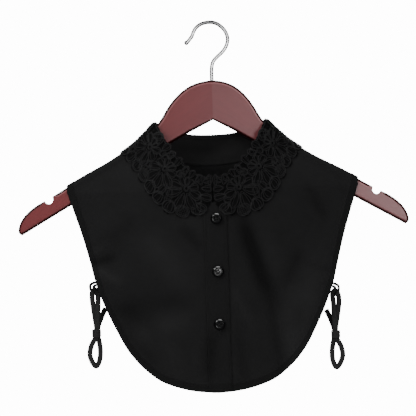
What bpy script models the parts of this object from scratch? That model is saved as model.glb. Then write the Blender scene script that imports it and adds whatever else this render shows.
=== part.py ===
"""A lace collar on a shirt-front bib, hung over a wooden clothes hanger.

The bib has two fronts, a button band, a back, a fabric collar stand and two halves of heavy
flower lace that fall from the top of the stand. A strap on each side ties front and back together.
The hanger is two wooden arms glued at the middle, with a wire hook between them.

Every size below is in millimetres, and make_object() turns points into metres. The origin is inside
the top of the hook, where a rail would carry it. X runs along the hanger, the front faces -Y.
"""

import math
from collections import namedtuple

import bmesh
import bpy
import numpy as np
from mathutils.geometry import delaunay_2d_cdt

METRES = 0.001
SEAM_GAP = 0.3

Point = namedtuple("Point", "x z")
Edge = namedtuple("Edge", "half_width z")
Fold = namedtuple("Fold", "top_x top_z end_x end_z width rise")
Flower = namedtuple("Flower", "along out radius petals turn")
Hole = namedtuple("Hole", "along out radius")
Tie = namedtuple("Tie", "name side drop lean out")

# Wooden hanger: upper and lower edge of one arm, from the joint in the middle to the tip
ARM_TOP = [
    Point(0, -65.5), Point(19.3, -69.1), Point(30.6, -76.1), Point(46.9, -93.6),
    Point(58.9, -111.5), Point(74, -125.5), Point(90.8, -138.6), Point(116.2, -155),
    Point(147.5, -171.5), Point(181.2, -191),
]
ARM_SHOULDER = [Point(190.7, -196.1), Point(199.5, -200.8), Point(208.5, -207.3)]
ARM_TIP = [Point(216.2, -215.5), Point(220.6, -224.5), Point(221, -231), Point(217.6, -234.4)]
ARM_BOTTOM = [Point(160.3, -201.6), Point(47.7, -135.8), Point(24.7, -122.6), Point(0, -109.8)]
ARM_THICKNESS = 12.0
ARM_ROUNDING = 3.4
NOTCH_CENTRE = Point(186.0, -194.6)
NOTCH_RADIUS = 5.0
JOINT_X = 3.0
JOINT_REACH = 60.0

# Wire hook, from its tip over the top and down into the wood
HOOK_PATH = [
    Point(-24.4, -21.4), Point(-20.7, -17), Point(-18.1, -13.6), Point(-16.2, -9), Point(-13.3, -4.3),
    Point(-8.2, -0.4), Point(-2.8, 1.3), Point(2.7, 1.8), Point(8, 1), Point(13.2, -1.7),
    Point(19.2, -7.8), Point(22.4, -16.5), Point(21, -24.7), Point(16.6, -31.8), Point(9.8, -38.2),
    Point(5.4, -43.2), Point(3.6, -49), Point(3.05, -56), Point(3, -72), Point(3, -88),
]
WIRE_RADIUS = 1.65
HOOK_BEAD_RADIUS = 2.3

# Cloth
CLOTH = 1.2
STAND_WALL = 1.4
STAND_SEAM = 1.4
HEM_WIDTH = 9.0
HEM_EXTRA = 0.45
HEM_STEP = 0.8
CLOTH_LIFT = 0.6

# Half outline of the front, from the shoulder down the armhole and round the hem
FRONT_EDGE = [
    Edge(164.5, -187), Edge(158.5, -206), Edge(152, -226), Edge(146, -246), Edge(139, -273),
    Edge(133.6, -295), Edge(127.5, -312), Edge(119, -332), Edge(105, -360), Edge(95.8, -374),
    Edge(83.4, -388), Edge(66, -402), Edge(47.3, -410), Edge(25, -415.4), Edge(0, -417.5),
]
BACK_INSET = 5.0
BACK_RISE = 7.0
SHOULDER_X = 164.5

# Rings of the collar: half width at the side, height at the middle and how deep it stands
ROLL_HALF_WIDTH = 62.0
ROLL_SIDE_Z = -112.0
ROLL_FRONT_Z = -176.5
ROLL_BACK_Z = -126.5
ROLL_FRONT_DEPTH = 38.0
ROLL_BACK_DEPTH = 33.0
ROLL_FRONT_CURVE = 2.1
ROLL_BACK_CURVE = 2.6
NECK_HALF_WIDTH = 84.0
NECK_FRONT_Z = -203.0
NECK_BACK_Z = -161.0
NECK_CURVE = 1.9
FALL_HALF_WIDTH = 118.0
FALL_FRONT_Z = -240.0
FALL_BACK_Z = -206.0
FALL_SPREAD = 0.85
FALL_CURVE = 2.2

# How far the cloth stands off the hanger
SIDE_DEPTH = ARM_THICKNESS / 2 + CLOTH_LIFT
FRONT_NECK_FULLNESS = 30.4
FRONT_HEM_FULLNESS = 19.0
BACK_NECK_FULLNESS = 21.0
BACK_HEM_FULLNESS = 10.0
DEPTH_POWER = 1.4
SADDLE_DROP = 7.8
SADDLE_POWER = 3.2
SADDLE_START = 76.0
HEM_Z = -417.5

# Soft folds of the fronts, each a trough or ridge along a line that fades at its ends
FOLD_FADE = 0.25
FRONT_FOLDS = [
    Fold(30, -222, 64, -316, 9, -1.7),
    Fold(48, -232, 92, -322, 13, 1.6),
    Fold(-141, -270, -112, -262, 5, -1.3),
    Fold(-139, -274, -108, -290, 6, 1.2),
    Fold(-112, -322, -28, -312, 12, -1.5),
    Fold(-92, -352, -30, -336, 13, 1.3),
    Fold(118, -268, 88, -372, 15, 1.4),
]
BACK_FOLDS = [
    Fold(-38, -235, -70, -350, 13, 1.8),
    Fold(30, -225, 46, -352, 14, 1.6),
    Fold(104, -262, 78, -362, 12, -1.5),
]

# Button band
BAND_LEFT = -11.2
BAND_RIGHT = 15.0
UNDERLAP = 4.0
BAND_WALL = 1.5
BAND_STEP = BAND_WALL + SEAM_GAP
BUTTON_X = 3.2
BUTTON_HEIGHTS = [-221.8, -281.0, -340.4]
BUTTON_RADIUS = 6.4
BUTTON_THICK = 3.0
BUTTON_SHANK = 0.25
BUTTON_HOLE_RADIUS = 0.95
BUTTON_HOLE_SPACING = 1.75

# Lace: distance along the neck seam and out from the roll line
LACE_BASE = 1.5
LACE_RELIEF = 1.0
LACE_CLEARANCE = 0.9
ARM_CLEARANCE = 0.8
LACE_OVER_TOP = 2.2
SCALLOP = 13.8
SCALLOP_DEPTH = 4.4
LACE_FRONT = 7.0
LACE_REACH = [
    Point(0, 31), Point(6, 37.5), Point(12, 41.5), Point(20, 47), Point(30, 51), Point(42, 53),
    Point(54, 52.5), Point(66, 51), Point(82, 48.5), Point(94, 48), Point(108, 49.5),
    Point(122, 52), Point(150, 55), Point(180, 57), Point(205, 56), Point(240, 53),
]
FLOWERS = [
    Flower(33, 19, 19, 9, 10), Flower(70, 18, 18, 9, 30), Flower(105, 18, 17, 9, 10),
    Flower(141, 19, 19, 9, 30), Flower(178, 20, 19, 9, 10), Flower(212, 19, 17, 9, 30),
]
FLOWER_LEAN = 0.26
HOLES = [
    Hole(52, 10, 2.8), Hole(88, 9.5, 2.7), Hole(123, 10, 2.8), Hole(160, 10.5, 2.8),
    Hole(195.5, 10.5, 2.7), Hole(51.5, 31, 2.6), Hole(87.5, 29.5, 2.5), Hole(123.5, 31, 2.6),
    Hole(160, 33, 2.7), Hole(195.5, 33, 2.6), Hole(16, 27, 2.5),
]

# Side ties of the left side; the right one hangs lower and leans in
TIES = [Tie("left", -1, 0.0, 0.0, 0.0), Tie("right", 1, 9.5, 4.0, 3.2)]
TIE_TOP_Z = -288.0
TIE_LENGTH = 97.0
TIE_EDGE_SLOPE = 0.3
STRAP_HALF_WIDTH = 2.0
STRAP_HALF_THICK = 0.85
STRAP_PATH = [
    (127.2, 9.6, -313.5), (129.5, 8.0, -319), (132.3, 4.6, -329), (134.8, 2.7, -339),
    (136.0, 2.5, -348), (133.9, 2.3, -358), (132.9, 1.9, -368), (134.0, 1.5, -378),
    (138.0, 1.1, -385.3), (142.6, 0.7, -380), (144.9, 0.3, -371), (142.6, 0.1, -361),
    (137.6, 0.0, -352), (136.4, 0.0, -343), (137.6, 0.0, -332), (139.2, -0.1, -320),
    (140.4, -0.3, -308), (140.0, -0.8, -301.5), (137.1, -1.5, -298.2), (134.1, -2.1, -301.5),
    (133.5, -2.4, -308), (134.2, -2.5, -322), (135.6, -2.5, -336), (136.2, -2.5, -349),
]
LOOP_PATH = [
    (136.3, -12.4, -288.6), (138.8, -11.2, -289.4), (141.6, -8.2, -291.8), (141.2, -5.6, -297.2),
    (137.6, -4.2, -301.4), (136.9, -0.6, -301.9), (137.0, 3.0, -301.4), (138.4, 4.4, -297.0),
    (138.2, 1.2, -293.6), (137.0, -5.2, -292.8), (135.6, -11.9, -291.8),
]
LOOP_RADIUS = 0.65
KEEPER_CENTRE = (136.3, 0.0, -347.6)
KEEPER_INNER = (3.9, 4.1)
KEEPER_WALL = 1.1
KEEPER_HEIGHT = 8.4
KEEPER_RIDGES = 3
KEEPER_RIDGE = 0.35
KEEPER_SIDES = 16

WOOD = ((0.14, 0.018, 0.02, 1), 0.33, 0.0)
STEEL = ((0.62, 0.62, 0.63, 1), 0.16, 1.0)
BLACK_CLOTH = ((0.012, 0.012, 0.013, 1), 0.9, 0.0)
BLACK_LACE = ((0.016, 0.016, 0.017, 1), 0.72, 0.0)
BLACK_BUTTON = ((0.008, 0.008, 0.009, 1), 0.18, 0.0)


def clear_scene():
    for item in list(bpy.data.objects):
        bpy.data.objects.remove(item)


def make_material(name, finish):
    colour, roughness, metallic = finish
    material = bpy.data.materials.new(name)
    material.use_nodes = True
    shader = material.node_tree.nodes["Principled BSDF"]
    shader.inputs["Base Color"].default_value = colour
    shader.inputs["Roughness"].default_value = roughness
    shader.inputs["Metallic"].default_value = metallic
    return material


def make_object(name, points, faces, finish, sharp_angle=50):
    """A closed body from points in millimetres, its faces turned outwards."""
    mesh = bpy.data.meshes.new(name)
    mesh.from_pydata((np.asarray(points, float) * METRES).tolist(), [], [list(f) for f in faces])
    shape = bmesh.new()
    shape.from_mesh(mesh)
    bmesh.ops.recalc_face_normals(shape, faces=shape.faces)
    if shape.calc_volume(signed=True) < 0:
        bmesh.ops.reverse_faces(shape, faces=shape.faces)
    shape.to_mesh(mesh)
    shape.free()
    mesh.shade_smooth()
    mesh.set_sharp_from_angle(angle=math.radians(sharp_angle))
    item = bpy.data.objects.new(name, mesh)
    bpy.context.collection.objects.link(item)
    mesh.materials.append(make_material(name, finish))
    return item


def smooth_step(value):
    value = np.clip(value, 0, 1)
    return value * value * (3 - 2 * value)


def smooth_curve(points, per_span=6):
    """A Catmull-Rom curve through every point."""
    points = np.asarray(points, float)
    padded = np.vstack([2 * points[0] - points[1], points, 2 * points[-1] - points[-2]])
    curve = []
    for i in range(1, len(padded) - 2):
        before, start, end, after = padded[i - 1:i + 3]
        for t in np.arange(per_span) / per_span:
            slope_a = (end - before) / 2
            slope_b = (after - start) / 2
            a = 2 * t**3 - 3 * t**2 + 1
            b = t**3 - 2 * t**2 + t
            c = -2 * t**3 + 3 * t**2
            d = t**3 - t**2
            curve.append(a * start + b * slope_a + c * end + d * slope_b)
    curve.append(points[-1])
    return np.array(curve)


def lengths_along(curve):
    return np.concatenate([[0], np.cumsum(np.linalg.norm(np.diff(curve, axis=0), axis=1))])


def at_lengths(curve, lengths):
    along = lengths_along(curve)
    return np.column_stack([np.interp(lengths, along, curve[:, k]) for k in range(curve.shape[1])])


def evenly(curve, count):
    return at_lengths(curve, np.linspace(0, lengths_along(curve)[-1], count))


# Hanger
ARM_TOP_CURVE = smooth_curve(ARM_TOP, 8)


def arm_top(x):
    return np.interp(np.abs(x), ARM_TOP_CURVE[:, 0], ARM_TOP_CURVE[:, 1])


def arm_outline():
    """One arm seen from the front, as a closed loop with a round notch near the tip."""
    notch_in = math.atan2(-191 - NOTCH_CENTRE.z, 181.2 - NOTCH_CENTRE.x)
    notch_out = math.atan2(-196.1 - NOTCH_CENTRE.z, 190.7 - NOTCH_CENTRE.x)
    turn = np.linspace(notch_in, notch_out + 2 * math.pi, 9)[1:-1]
    notch = np.column_stack([
        NOTCH_CENTRE.x + NOTCH_RADIUS * np.cos(turn),
        NOTCH_CENTRE.z + NOTCH_RADIUS * np.sin(turn),
    ])
    upper = smooth_curve(ARM_TOP, 3)
    end = smooth_curve(ARM_SHOULDER + ARM_TIP, 2)
    lower = np.array(ARM_BOTTOM, float)
    loop = np.vstack([upper, notch, end, lower])
    loop[:, 0] = np.maximum(loop[:, 0], SEAM_GAP / 2)
    return loop


def inset_loop(loop, distance):
    """The loop moved inwards, mitred at its corners; it runs clockwise in X and Z."""
    ahead = np.roll(loop, -1, axis=0) - loop
    ahead /= np.linalg.norm(ahead, axis=1)[:, None]
    inward = np.column_stack([ahead[:, 1], -ahead[:, 0]])
    before = np.roll(inward, 1, axis=0)
    mitre = inward + before
    mitre /= np.maximum((mitre * inward).sum(axis=1), 0.45)[:, None]
    return loop + distance * mitre


def make_arm(name, side):
    """An arm as stacked outlines: a flat front and back with rounded long edges."""
    outline = arm_outline()
    half = ARM_THICKNESS / 2
    levels = []
    for turn in np.radians([90, 45, 0]):
        y = -half + ARM_ROUNDING * (1 - math.sin(turn))
        levels.append((y, ARM_ROUNDING * (1 - math.cos(turn))))
    levels += [(-y, inset) for y, inset in levels[::-1]]
    rings = []
    for y, inset in levels:
        ring = inset_loop(outline, inset)
        joint = np.abs(outline[:, 0] - SEAM_GAP / 2) < 0.01
        ring[joint, 0] = SEAM_GAP / 2
        shift = JOINT_X * np.clip(1 - ring[:, 0] / JOINT_REACH, 0, 1)
        rings.append(np.column_stack([ring[:, 0] * side + shift, np.full(len(ring), y), ring[:, 1]]))
    count = len(outline)
    faces = [range(count)]
    for level in range(len(rings) - 1):
        for i in range(count):
            j = (i + 1) % count
            a = level * count
            faces.append((a + i, a + j, a + count + j, a + count + i))
    faces.append([(len(rings) - 1) * count + i for i in reversed(range(count))])
    arm = make_object(name, np.vstack(rings), faces, WOOD, 40)
    cut = arm.modifiers.new("hook hole", "BOOLEAN")
    cut.operation = "DIFFERENCE"
    cut.solver = "EXACT"
    cut.object = hook_hole()
    return arm


def hook_hole():
    """The drilled hole that the stem of the hook stands in, as a cutter."""
    if "hook hole" in bpy.data.objects:
        return bpy.data.objects["hook hole"]
    mesh = bpy.data.meshes.new("hook hole")
    shape = bmesh.new()
    radius = (WIRE_RADIUS + SEAM_GAP) * METRES
    bmesh.ops.create_cone(
        shape, cap_ends=True, segments=14, radius1=radius, radius2=radius, depth=40 * METRES
    )
    bmesh.ops.translate(shape, verts=shape.verts, vec=(JOINT_X * METRES, 0, -69.5 * METRES))
    shape.to_mesh(mesh)
    shape.free()
    cutter = bpy.data.objects.new("hook hole", mesh)
    bpy.context.collection.objects.link(cutter)
    cutter.hide_render = True
    cutter.display_type = "WIRE"
    return cutter


def tube(name, route, half_width, half_depth, sides, finish, swell=None):
    """A round or flat tube along a route, its flat side facing the front, with closed ends."""
    route = np.asarray(route, float)
    tangent = np.gradient(route, axis=0)
    tangent /= np.linalg.norm(tangent, axis=1)[:, None]
    front = np.array([0, -1, 0]) - tangent * (-tangent[:, 1])[:, None]
    front /= np.linalg.norm(front, axis=1)[:, None]
    across = np.cross(tangent, front)
    swell = np.ones(len(route)) if swell is None else swell
    turns = 2 * math.pi * np.arange(sides) / sides
    points = []
    for centre, side, face, scale in zip(route, across, front, swell):
        for turn in turns:
            offset = side * math.cos(turn) * half_width + face * math.sin(turn) * half_depth
            points.append(centre + offset * scale)
    faces = [range(sides)]
    for ring in range(len(route) - 1):
        for i in range(sides):
            j = (i + 1) % sides
            a = ring * sides
            faces.append((a + i, a + j, a + sides + j, a + sides + i))
    faces.append([(len(route) - 1) * sides + i for i in reversed(range(sides))])
    return make_object(name, points, faces, finish)


def make_hook():
    path = smooth_curve([(p.x, 0, p.z) for p in HOOK_PATH], 2)
    swell = np.ones(len(path))
    bead = HOOK_BEAD_RADIUS / WIRE_RADIUS
    swell[:3] = (0.7 * bead, bead, 1.0)
    tube("hanger_hook", path, WIRE_RADIUS, WIRE_RADIUS, 10, STEEL, swell)


# Cloth surfaces. An angle of 0 is the centre front, 90 the side over the arm, 180 the centre back.
def cloth_ridge(x):
    return arm_top(x) + CLOTH_LIFT


def ridge_reach(z):
    """How far from the middle the cloth runs at a height: to the arm's side, then to the armhole."""
    heights = ARM_TOP_CURVE[::-1, 1] + CLOTH_LIFT - SADDLE_DROP
    return np.minimum(np.interp(z, heights, ARM_TOP_CURVE[::-1, 0]), SHOULDER_X + 1)


def panel_y(x, z, is_back):
    """Depth of the cloth's inner face: fullest at the middle, close to the arm at the sides."""
    neck = BACK_NECK_FULLNESS if is_back else FRONT_NECK_FULLNESS
    hem = BACK_HEM_FULLNESS if is_back else FRONT_HEM_FULLNESS
    fall = smooth_step((NECK_FRONT_Z - z) / (NECK_FRONT_Z - HEM_Z))
    fullness = neck + (hem - neck) * fall
    share = np.clip(np.abs(x) / ridge_reach(z), 0, 1)
    depth = SIDE_DEPTH + fullness * np.cos(share * math.pi / 2) ** DEPTH_POWER
    return depth if is_back else -depth


def fold_height(x, z, folds):
    """How far the soft folds lift the cloth at a place."""
    height = np.zeros(np.shape(x))
    for fold in folds:
        start = np.array([fold.top_x, fold.top_z], float)
        line = np.array([fold.end_x, fold.end_z], float) - start
        span = np.linalg.norm(line)
        line /= span
        along = (x - start[0]) * line[0] + (z - start[1]) * line[1]
        aside = (x - start[0]) * -line[1] + (z - start[1]) * line[0]
        fade_in = smooth_step((along / span + FOLD_FADE) / (2 * FOLD_FADE))
        fade_out = smooth_step((1 + FOLD_FADE - along / span) / (2 * FOLD_FADE))
        height = height + fold.rise * fade_in * fade_out * np.exp(-((aside / fold.width) ** 2))
    return height


def saddle(x, turn, is_back):
    """A point where the cloth rounds over the arm; turn runs from 0 at its side to 90 on top."""
    angle = np.radians(turn)
    power = 2 / SADDLE_POWER
    y = SIDE_DEPTH * np.maximum(np.cos(angle), 0) ** power
    y = np.maximum(y, SEAM_GAP / 2)
    z = cloth_ridge(x) - SADDLE_DROP + SADDLE_DROP * np.sin(angle) ** power
    return np.column_stack([x, y if is_back else -y, z])


def fold_angle(angle):
    """Angle from the nearer middle, 0 to 90, and the same stretched to 90 at the arm's side."""
    near = np.where(angle > 90, 180 - angle, angle)
    return near, np.clip(near / SADDLE_START, 0, 1) * 90


def ring(angle, half_width, middle_front, middle_back, curve, spread=1.0):
    """A ring on the bib at a distance from the neck, from centre front to centre back."""
    angle = np.asarray(angle, float)
    near, stretched = fold_angle(angle)
    sine = np.sin(np.radians(stretched))
    is_back = angle > 90
    side_z = cloth_ridge(half_width) - SADDLE_DROP
    middle = np.where(is_back, middle_back, middle_front)
    x = half_width * sine**spread
    z = middle + (side_z - middle) * sine**curve
    y = np.where(is_back, panel_y(x, z, True), panel_y(x, z, False))
    points = np.column_stack([x, y, z])
    over = near > SADDLE_START
    turn = (near - SADDLE_START) / (90 - SADDLE_START) * 90
    wide = np.full(len(angle), half_width)
    front = saddle(wide, np.clip(turn, 0, 90), False)
    back = saddle(wide, np.clip(turn, 0, 90), True)
    points[over & ~is_back] = front[over & ~is_back]
    points[over & is_back] = back[over & is_back]
    return points


def neck_ring(angle):
    return ring(angle, NECK_HALF_WIDTH, NECK_FRONT_Z, NECK_BACK_Z, NECK_CURVE)


def fall_ring(angle):
    return ring(angle, FALL_HALF_WIDTH, FALL_FRONT_Z, FALL_BACK_Z, FALL_CURVE, FALL_SPREAD)


def roll_ring(angle):
    """The top edge of the stand, where the lace turns over."""
    angle = np.asarray(angle, float)
    turn = np.radians(angle)
    sine = np.sin(turn)
    is_back = angle > 90
    rise_front = (ROLL_SIDE_Z - ROLL_FRONT_Z) * sine**ROLL_FRONT_CURVE
    rise_back = (ROLL_SIDE_Z - ROLL_BACK_Z) * sine**ROLL_BACK_CURVE
    z = np.where(is_back, ROLL_BACK_Z + rise_back, ROLL_FRONT_Z + rise_front)
    depth = np.where(is_back, ROLL_BACK_DEPTH, ROLL_FRONT_DEPTH)
    return np.column_stack([ROLL_HALF_WIDTH * sine, -depth * np.cos(turn), z])


def grid_normals(grid):
    """Unit normals of a grid of points, turned away from the middle of the bib."""
    along = np.gradient(grid, axis=0)
    across = np.gradient(grid, axis=1)
    normals = np.cross(along, across)
    normals /= np.linalg.norm(normals, axis=2)[:, :, None]
    middle = np.array([0, 0, -230.0])
    if ((grid - middle) * normals).sum() < 0:
        normals = -normals
    return normals


def wall(name, grid, thickness, finish):
    """A closed wall over a grid of points: its inner face, its outer face and its rim."""
    rows, columns = grid.shape[:2]
    thickness = np.broadcast_to(thickness, (rows, columns))
    outer = grid + grid_normals(grid) * thickness[:, :, None]
    points = np.vstack([grid.reshape(-1, 3), outer.reshape(-1, 3)])
    shift = rows * columns
    faces = []
    for i in range(rows - 1):
        for j in range(columns - 1):
            a = i * columns + j
            quad = (a, a + 1, a + columns + 1, a + columns)
            faces.append(quad)
            faces.append(tuple(shift + k for k in reversed(quad)))
    border = [j for j in range(columns)]
    border += [i * columns + columns - 1 for i in range(1, rows)]
    border += [(rows - 1) * columns + j for j in range(columns - 2, -1, -1)]
    border += [i * columns for i in range(rows - 2, 0, -1)]
    for a, b in zip(border, border[1:] + border[:1]):
        faces.append((b, a, shift + a, shift + b))
    return make_object(name, points, faces, finish)


def edge_curve(is_back):
    """The outline from centre hem to shoulder; the back's lies a little inside the front's."""
    curve = smooth_curve([(e.half_width, e.z) for e in reversed(FRONT_EDGE)], 8)
    if is_back:
        low = smooth_step((FRONT_EDGE[0].z - curve[:, 1]) / 60)
        rise = (FRONT_EDGE[0].z - curve[:, 1]) / (FRONT_EDGE[0].z - HEM_Z)
        curve[:, 0] *= 1 - BACK_INSET / SHOULDER_X * low
        curve[:, 1] += BACK_RISE * rise
    return curve


def half_panel(side, is_back, start_x, columns=15, rows=12, saddle_columns=4):
    """Half a panel as a grid: rows from the neck seam to the edge, columns from middle to shoulder."""
    angles = np.linspace(0, SADDLE_START, 60)
    neck = neck_ring(180 - angles if is_back else angles)[:, [0, 2]]
    outline = edge_curve(is_back)
    outline = np.vstack([outline[:-1], [SHOULDER_X, cloth_ridge(SHOULDER_X) - SADDLE_DROP]])
    if start_x < 0:
        neck = np.vstack([[start_x, neck[0, 1]], neck])
        outline = np.vstack([[start_x, outline[0, 1]], outline])
    else:
        neck = neck[neck[:, 0] > start_x + 0.5]
        neck = np.vstack([[start_x, neck[0, 1]], neck])
        cut_z = np.interp(start_x, outline[:12, 0], outline[:12, 1])
        outline = outline[outline[:, 0] > start_x + 0.5]
        outline = np.vstack([[start_x, cut_z], outline])
    inner = evenly(neck, columns)
    outer = evenly(outline, columns)
    reach = np.linalg.norm(outer - inner, axis=1)
    grid = []
    body_rows = np.linspace(0, 1, rows - 2)
    for i in range(rows):
        if i < rows - 2:
            share = body_rows[i] * (1 - (HEM_WIDTH + HEM_STEP) / reach)
        else:
            share = 1 - (HEM_WIDTH if i == rows - 2 else 0) / reach
        share = np.broadcast_to(share, reach.shape)
        flat = inner + (outer - inner) * share[:, None]
        pull = (np.arange(columns) / (columns - 1)) ** 5
        flat[:, 1] += pull * (cloth_ridge(flat[-1, 0]) - SADDLE_DROP - flat[-1, 1])
        x, z = flat[:, 0], flat[:, 1]
        y = panel_y(x, z, is_back)
        lift = fold_height(x * side, z, BACK_FOLDS if is_back else FRONT_FOLDS)
        calm = 1 - pull
        y = y + (lift if is_back else -lift) * calm
        body = np.column_stack([x, y, z])
        top_x = np.full(saddle_columns, x[-1])
        top = saddle(top_x, np.linspace(0, 90, saddle_columns + 1)[1:], is_back)
        row = np.vstack([body, top])
        row[:, 0] *= side
        grid.append(row)
    return np.array(grid)


def hem_thickness(grid):
    thickness = np.full(grid.shape[:2], CLOTH)
    thickness[-2:] += HEM_EXTRA
    return thickness


def make_panels():
    left = half_panel(-1, False, -BAND_LEFT + SEAM_GAP)
    right = half_panel(1, False, BAND_LEFT + UNDERLAP)
    wall("front_left", left, hem_thickness(left), BLACK_CLOTH)
    wall("front_right", right, hem_thickness(right), BLACK_CLOTH)
    back_left = half_panel(-1, True, 0.0)
    back_right = half_panel(1, True, 0.0)
    back = np.concatenate([back_left[:, :0:-1], back_right], axis=1)
    wall("back_panel", back, hem_thickness(back), BLACK_CLOTH)


def band_point(x, z, lift):
    y = panel_y(x, z, False) - fold_height(x, z, FRONT_FOLDS) - lift
    return np.column_stack([x, y, z])


def make_button_band():
    """The strip that carries the buttons, from the neck seam down to the hem."""
    across = np.linspace(BAND_LEFT, BAND_RIGHT, 5)
    down = np.linspace(0, 1, 26)
    neck = neck_ring(np.linspace(0, 40, 40))
    hem = edge_curve(False)
    grid = []
    for share in down:
        top_z = np.interp(np.abs(across), neck[:, 0], neck[:, 2]) - 0.5
        hem_z = np.interp(np.abs(across), hem[:12, 0], hem[:12, 1])
        z = top_z + (hem_z - top_z) * share
        grid.append(band_point(across, z, CLOTH + HEM_EXTRA * (share > 0.95) + SEAM_GAP))
    wall("button_band", np.array(grid), BAND_WALL, BLACK_CLOTH)


def make_stand():
    """The fabric stand: a leaning band round the neck, parted at the centre front."""
    quarter = np.concatenate([np.linspace(0.6, 66, 12), np.linspace(71, 90, 6)])
    half = np.concatenate([quarter, (180 - quarter[::-1])[1:]])
    half[-1] = 180
    top = roll_ring(half)
    bottom = neck_ring(half)
    rows = []
    length = np.linalg.norm(bottom - top, axis=1)[:, None]
    for share in (0, 0.5, 1):
        row = top + (bottom - top) * share * (1 - STAND_SEAM / length)
        mirrored = row[:-1] * np.array([-1, 1, 1])
        rows.append(np.vstack([row, mirrored[::-1]]))
    wall("collar_stand", np.array(rows), STAND_WALL, BLACK_CLOTH)


# Lace
NECK_ANGLES = np.linspace(0, 180, 361)
NECK_CURVE_POINTS = neck_ring(NECK_ANGLES)
NECK_LENGTHS = lengths_along(NECK_CURVE_POINTS)
LACE_LENGTH = float(NECK_LENGTHS[-1])
SADDLE_FROM, SADDLE_TO = np.interp([SADDLE_START - 4, 184 - SADDLE_START], NECK_ANGLES, NECK_LENGTHS)


def lace_floor(along, out, side):
    """The stand and then the bib, at a place given along the neck seam and out from the roll."""
    angle = np.interp(along, NECK_LENGTHS, NECK_ANGLES)
    roll, neck, fall = roll_ring(angle), neck_ring(angle), fall_ring(angle)
    stand = np.linalg.norm(neck - roll, axis=1)
    below = np.linalg.norm(fall - neck, axis=1)
    on_stand = roll + (neck - roll) * (out / stand)[:, None]
    share = (out - stand) / below
    on_bib = neck + (fall - neck) * share[:, None]
    near, _ = fold_angle(angle)
    is_back = angle > 90
    flat = near < SADDLE_START
    x, z = on_bib[:, 0], on_bib[:, 2].copy()
    z_ridge = cloth_ridge(x)
    y_back = panel_y(x, z, True)
    y_front = panel_y(x, z, False) - fold_height(x * side, z, FRONT_FOLDS)
    on_bib[:, 1] = np.where(flat, np.where(is_back, y_back, y_front), on_bib[:, 1])
    chord = neck[:, 2] + (fall[:, 2] - neck[:, 2]) * share
    straight = cloth_ridge(neck[:, 0]) + (cloth_ridge(fall[:, 0]) - cloth_ridge(neck[:, 0])) * share
    on_bib[:, 2] = np.where(flat, z, chord + z_ridge - straight)
    floor = np.where((out <= stand)[:, None], on_stand, on_bib)
    band_reach = BAND_RIGHT if side > 0 else -BAND_LEFT
    over_band = smooth_step((band_reach + 8 - floor[:, 0]) / 7) * smooth_step((out - stand + 12) / 8)
    floor[:, 1] -= np.where(is_back, 0, BAND_STEP * over_band)
    return floor


def lace_surface(along, out, lift, side):
    """A place on the lace, lifted off what it lies on."""
    step = 1.5
    here = lace_floor(along, out, side)
    ahead = lace_floor(np.clip(along + step, 0, LACE_LENGTH), out, side)
    behind = lace_floor(np.clip(along - step, 0, LACE_LENGTH), out, side)
    further = lace_floor(along, out + 2 * step, side)
    nearer = lace_floor(along, out - 2 * step, side)
    normal = np.cross(further - nearer, ahead - behind)
    normal /= np.linalg.norm(normal, axis=1)[:, None]
    point = here + normal * np.asarray(lift)[:, None]
    point[:, 0] *= side
    return point


def lace_reach(along):
    """How far the lace falls from the roll line, before its scallops."""
    curve = smooth_curve(LACE_REACH, 6)
    return np.interp(along, curve[:, 0], curve[:, 1])


def lace_outline():
    """Closed outline of one half: roll edge, back edge, scalloped fall and front edge."""
    end = LACE_LENGTH - 0.8
    roll = np.column_stack([np.linspace(1.5, end, 46), np.full(46, -LACE_OVER_TOP)])
    back = np.column_stack([np.full(8, end), np.linspace(4, lace_reach(end) - 5, 8)])
    start = LACE_FRONT
    count = round((end - start) / SCALLOP)
    steps = np.linspace(0, count, count * 5 + 1)
    along = end - 0.5 - (end - 0.5 - start) * steps / count
    bump = np.abs(np.sin(math.pi * steps)) ** 0.6
    fall = np.column_stack([along, lace_reach(along) - SCALLOP_DEPTH * (1 - bump)])
    front = np.column_stack([
        start + (2.0 - start) * np.linspace(0.2, 1, 6) ** 0.5,
        np.linspace(lace_reach(start) - SCALLOP_DEPTH - 2, 4, 6),
    ])
    return np.vstack([roll, back, fall, front])


def petal_loops(flower):
    """Outline and inner crest of each petal of a flower, as loops of along and out."""
    loops = []
    for k in range(flower.petals):
        heading = math.radians(flower.turn) + 2 * math.pi * k / flower.petals
        length = flower.radius * (1 + FLOWER_LEAN * math.sin(heading))
        half = length * math.sin(math.pi / flower.petals) * 0.66
        for kind, scale in (("edge", 1.0), ("crest", 0.5)):
            turn = np.linspace(0, 2 * math.pi, 8 if kind == "edge" else 5, endpoint=False)
            reach = 0.62 * length + 0.36 * length * scale * np.cos(turn)
            aside = half * scale * np.sin(turn) * (1.05 + 0.25 * np.cos(turn))
            x = flower.along + reach * math.cos(heading) - aside * math.sin(heading)
            z = flower.out + reach * math.sin(heading) + aside * math.cos(heading)
            loops.append((kind, np.column_stack([x, z])))
    return loops


def inside(points, loop):
    """Which points lie inside a closed loop."""
    x, y = points[:, 0][:, None], points[:, 1][:, None]
    ax, ay = loop[:, 0], loop[:, 1]
    bx, by = np.roll(ax, -1), np.roll(ay, -1)
    crosses = (ay > y) != (by > y)
    with np.errstate(divide="ignore", invalid="ignore"):
        at_x = ax + (y - ay) * (bx - ax) / (by - ay)
    return (crosses & (x < at_x)).sum(axis=1) % 2 == 1


def distance_to(points, others):
    return np.sqrt(((points[:, None] - others[None]) ** 2).sum(axis=2)).min(axis=1)


def lace_holes():
    """Open gaps between the petals of neighbouring flowers."""
    turn = np.linspace(0, 2 * math.pi, 7, endpoint=False)
    ring = np.column_stack([np.cos(turn), np.sin(turn)])
    return [np.array([hole.along, hole.out]) + hole.radius * ring for hole in HOLES]


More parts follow.
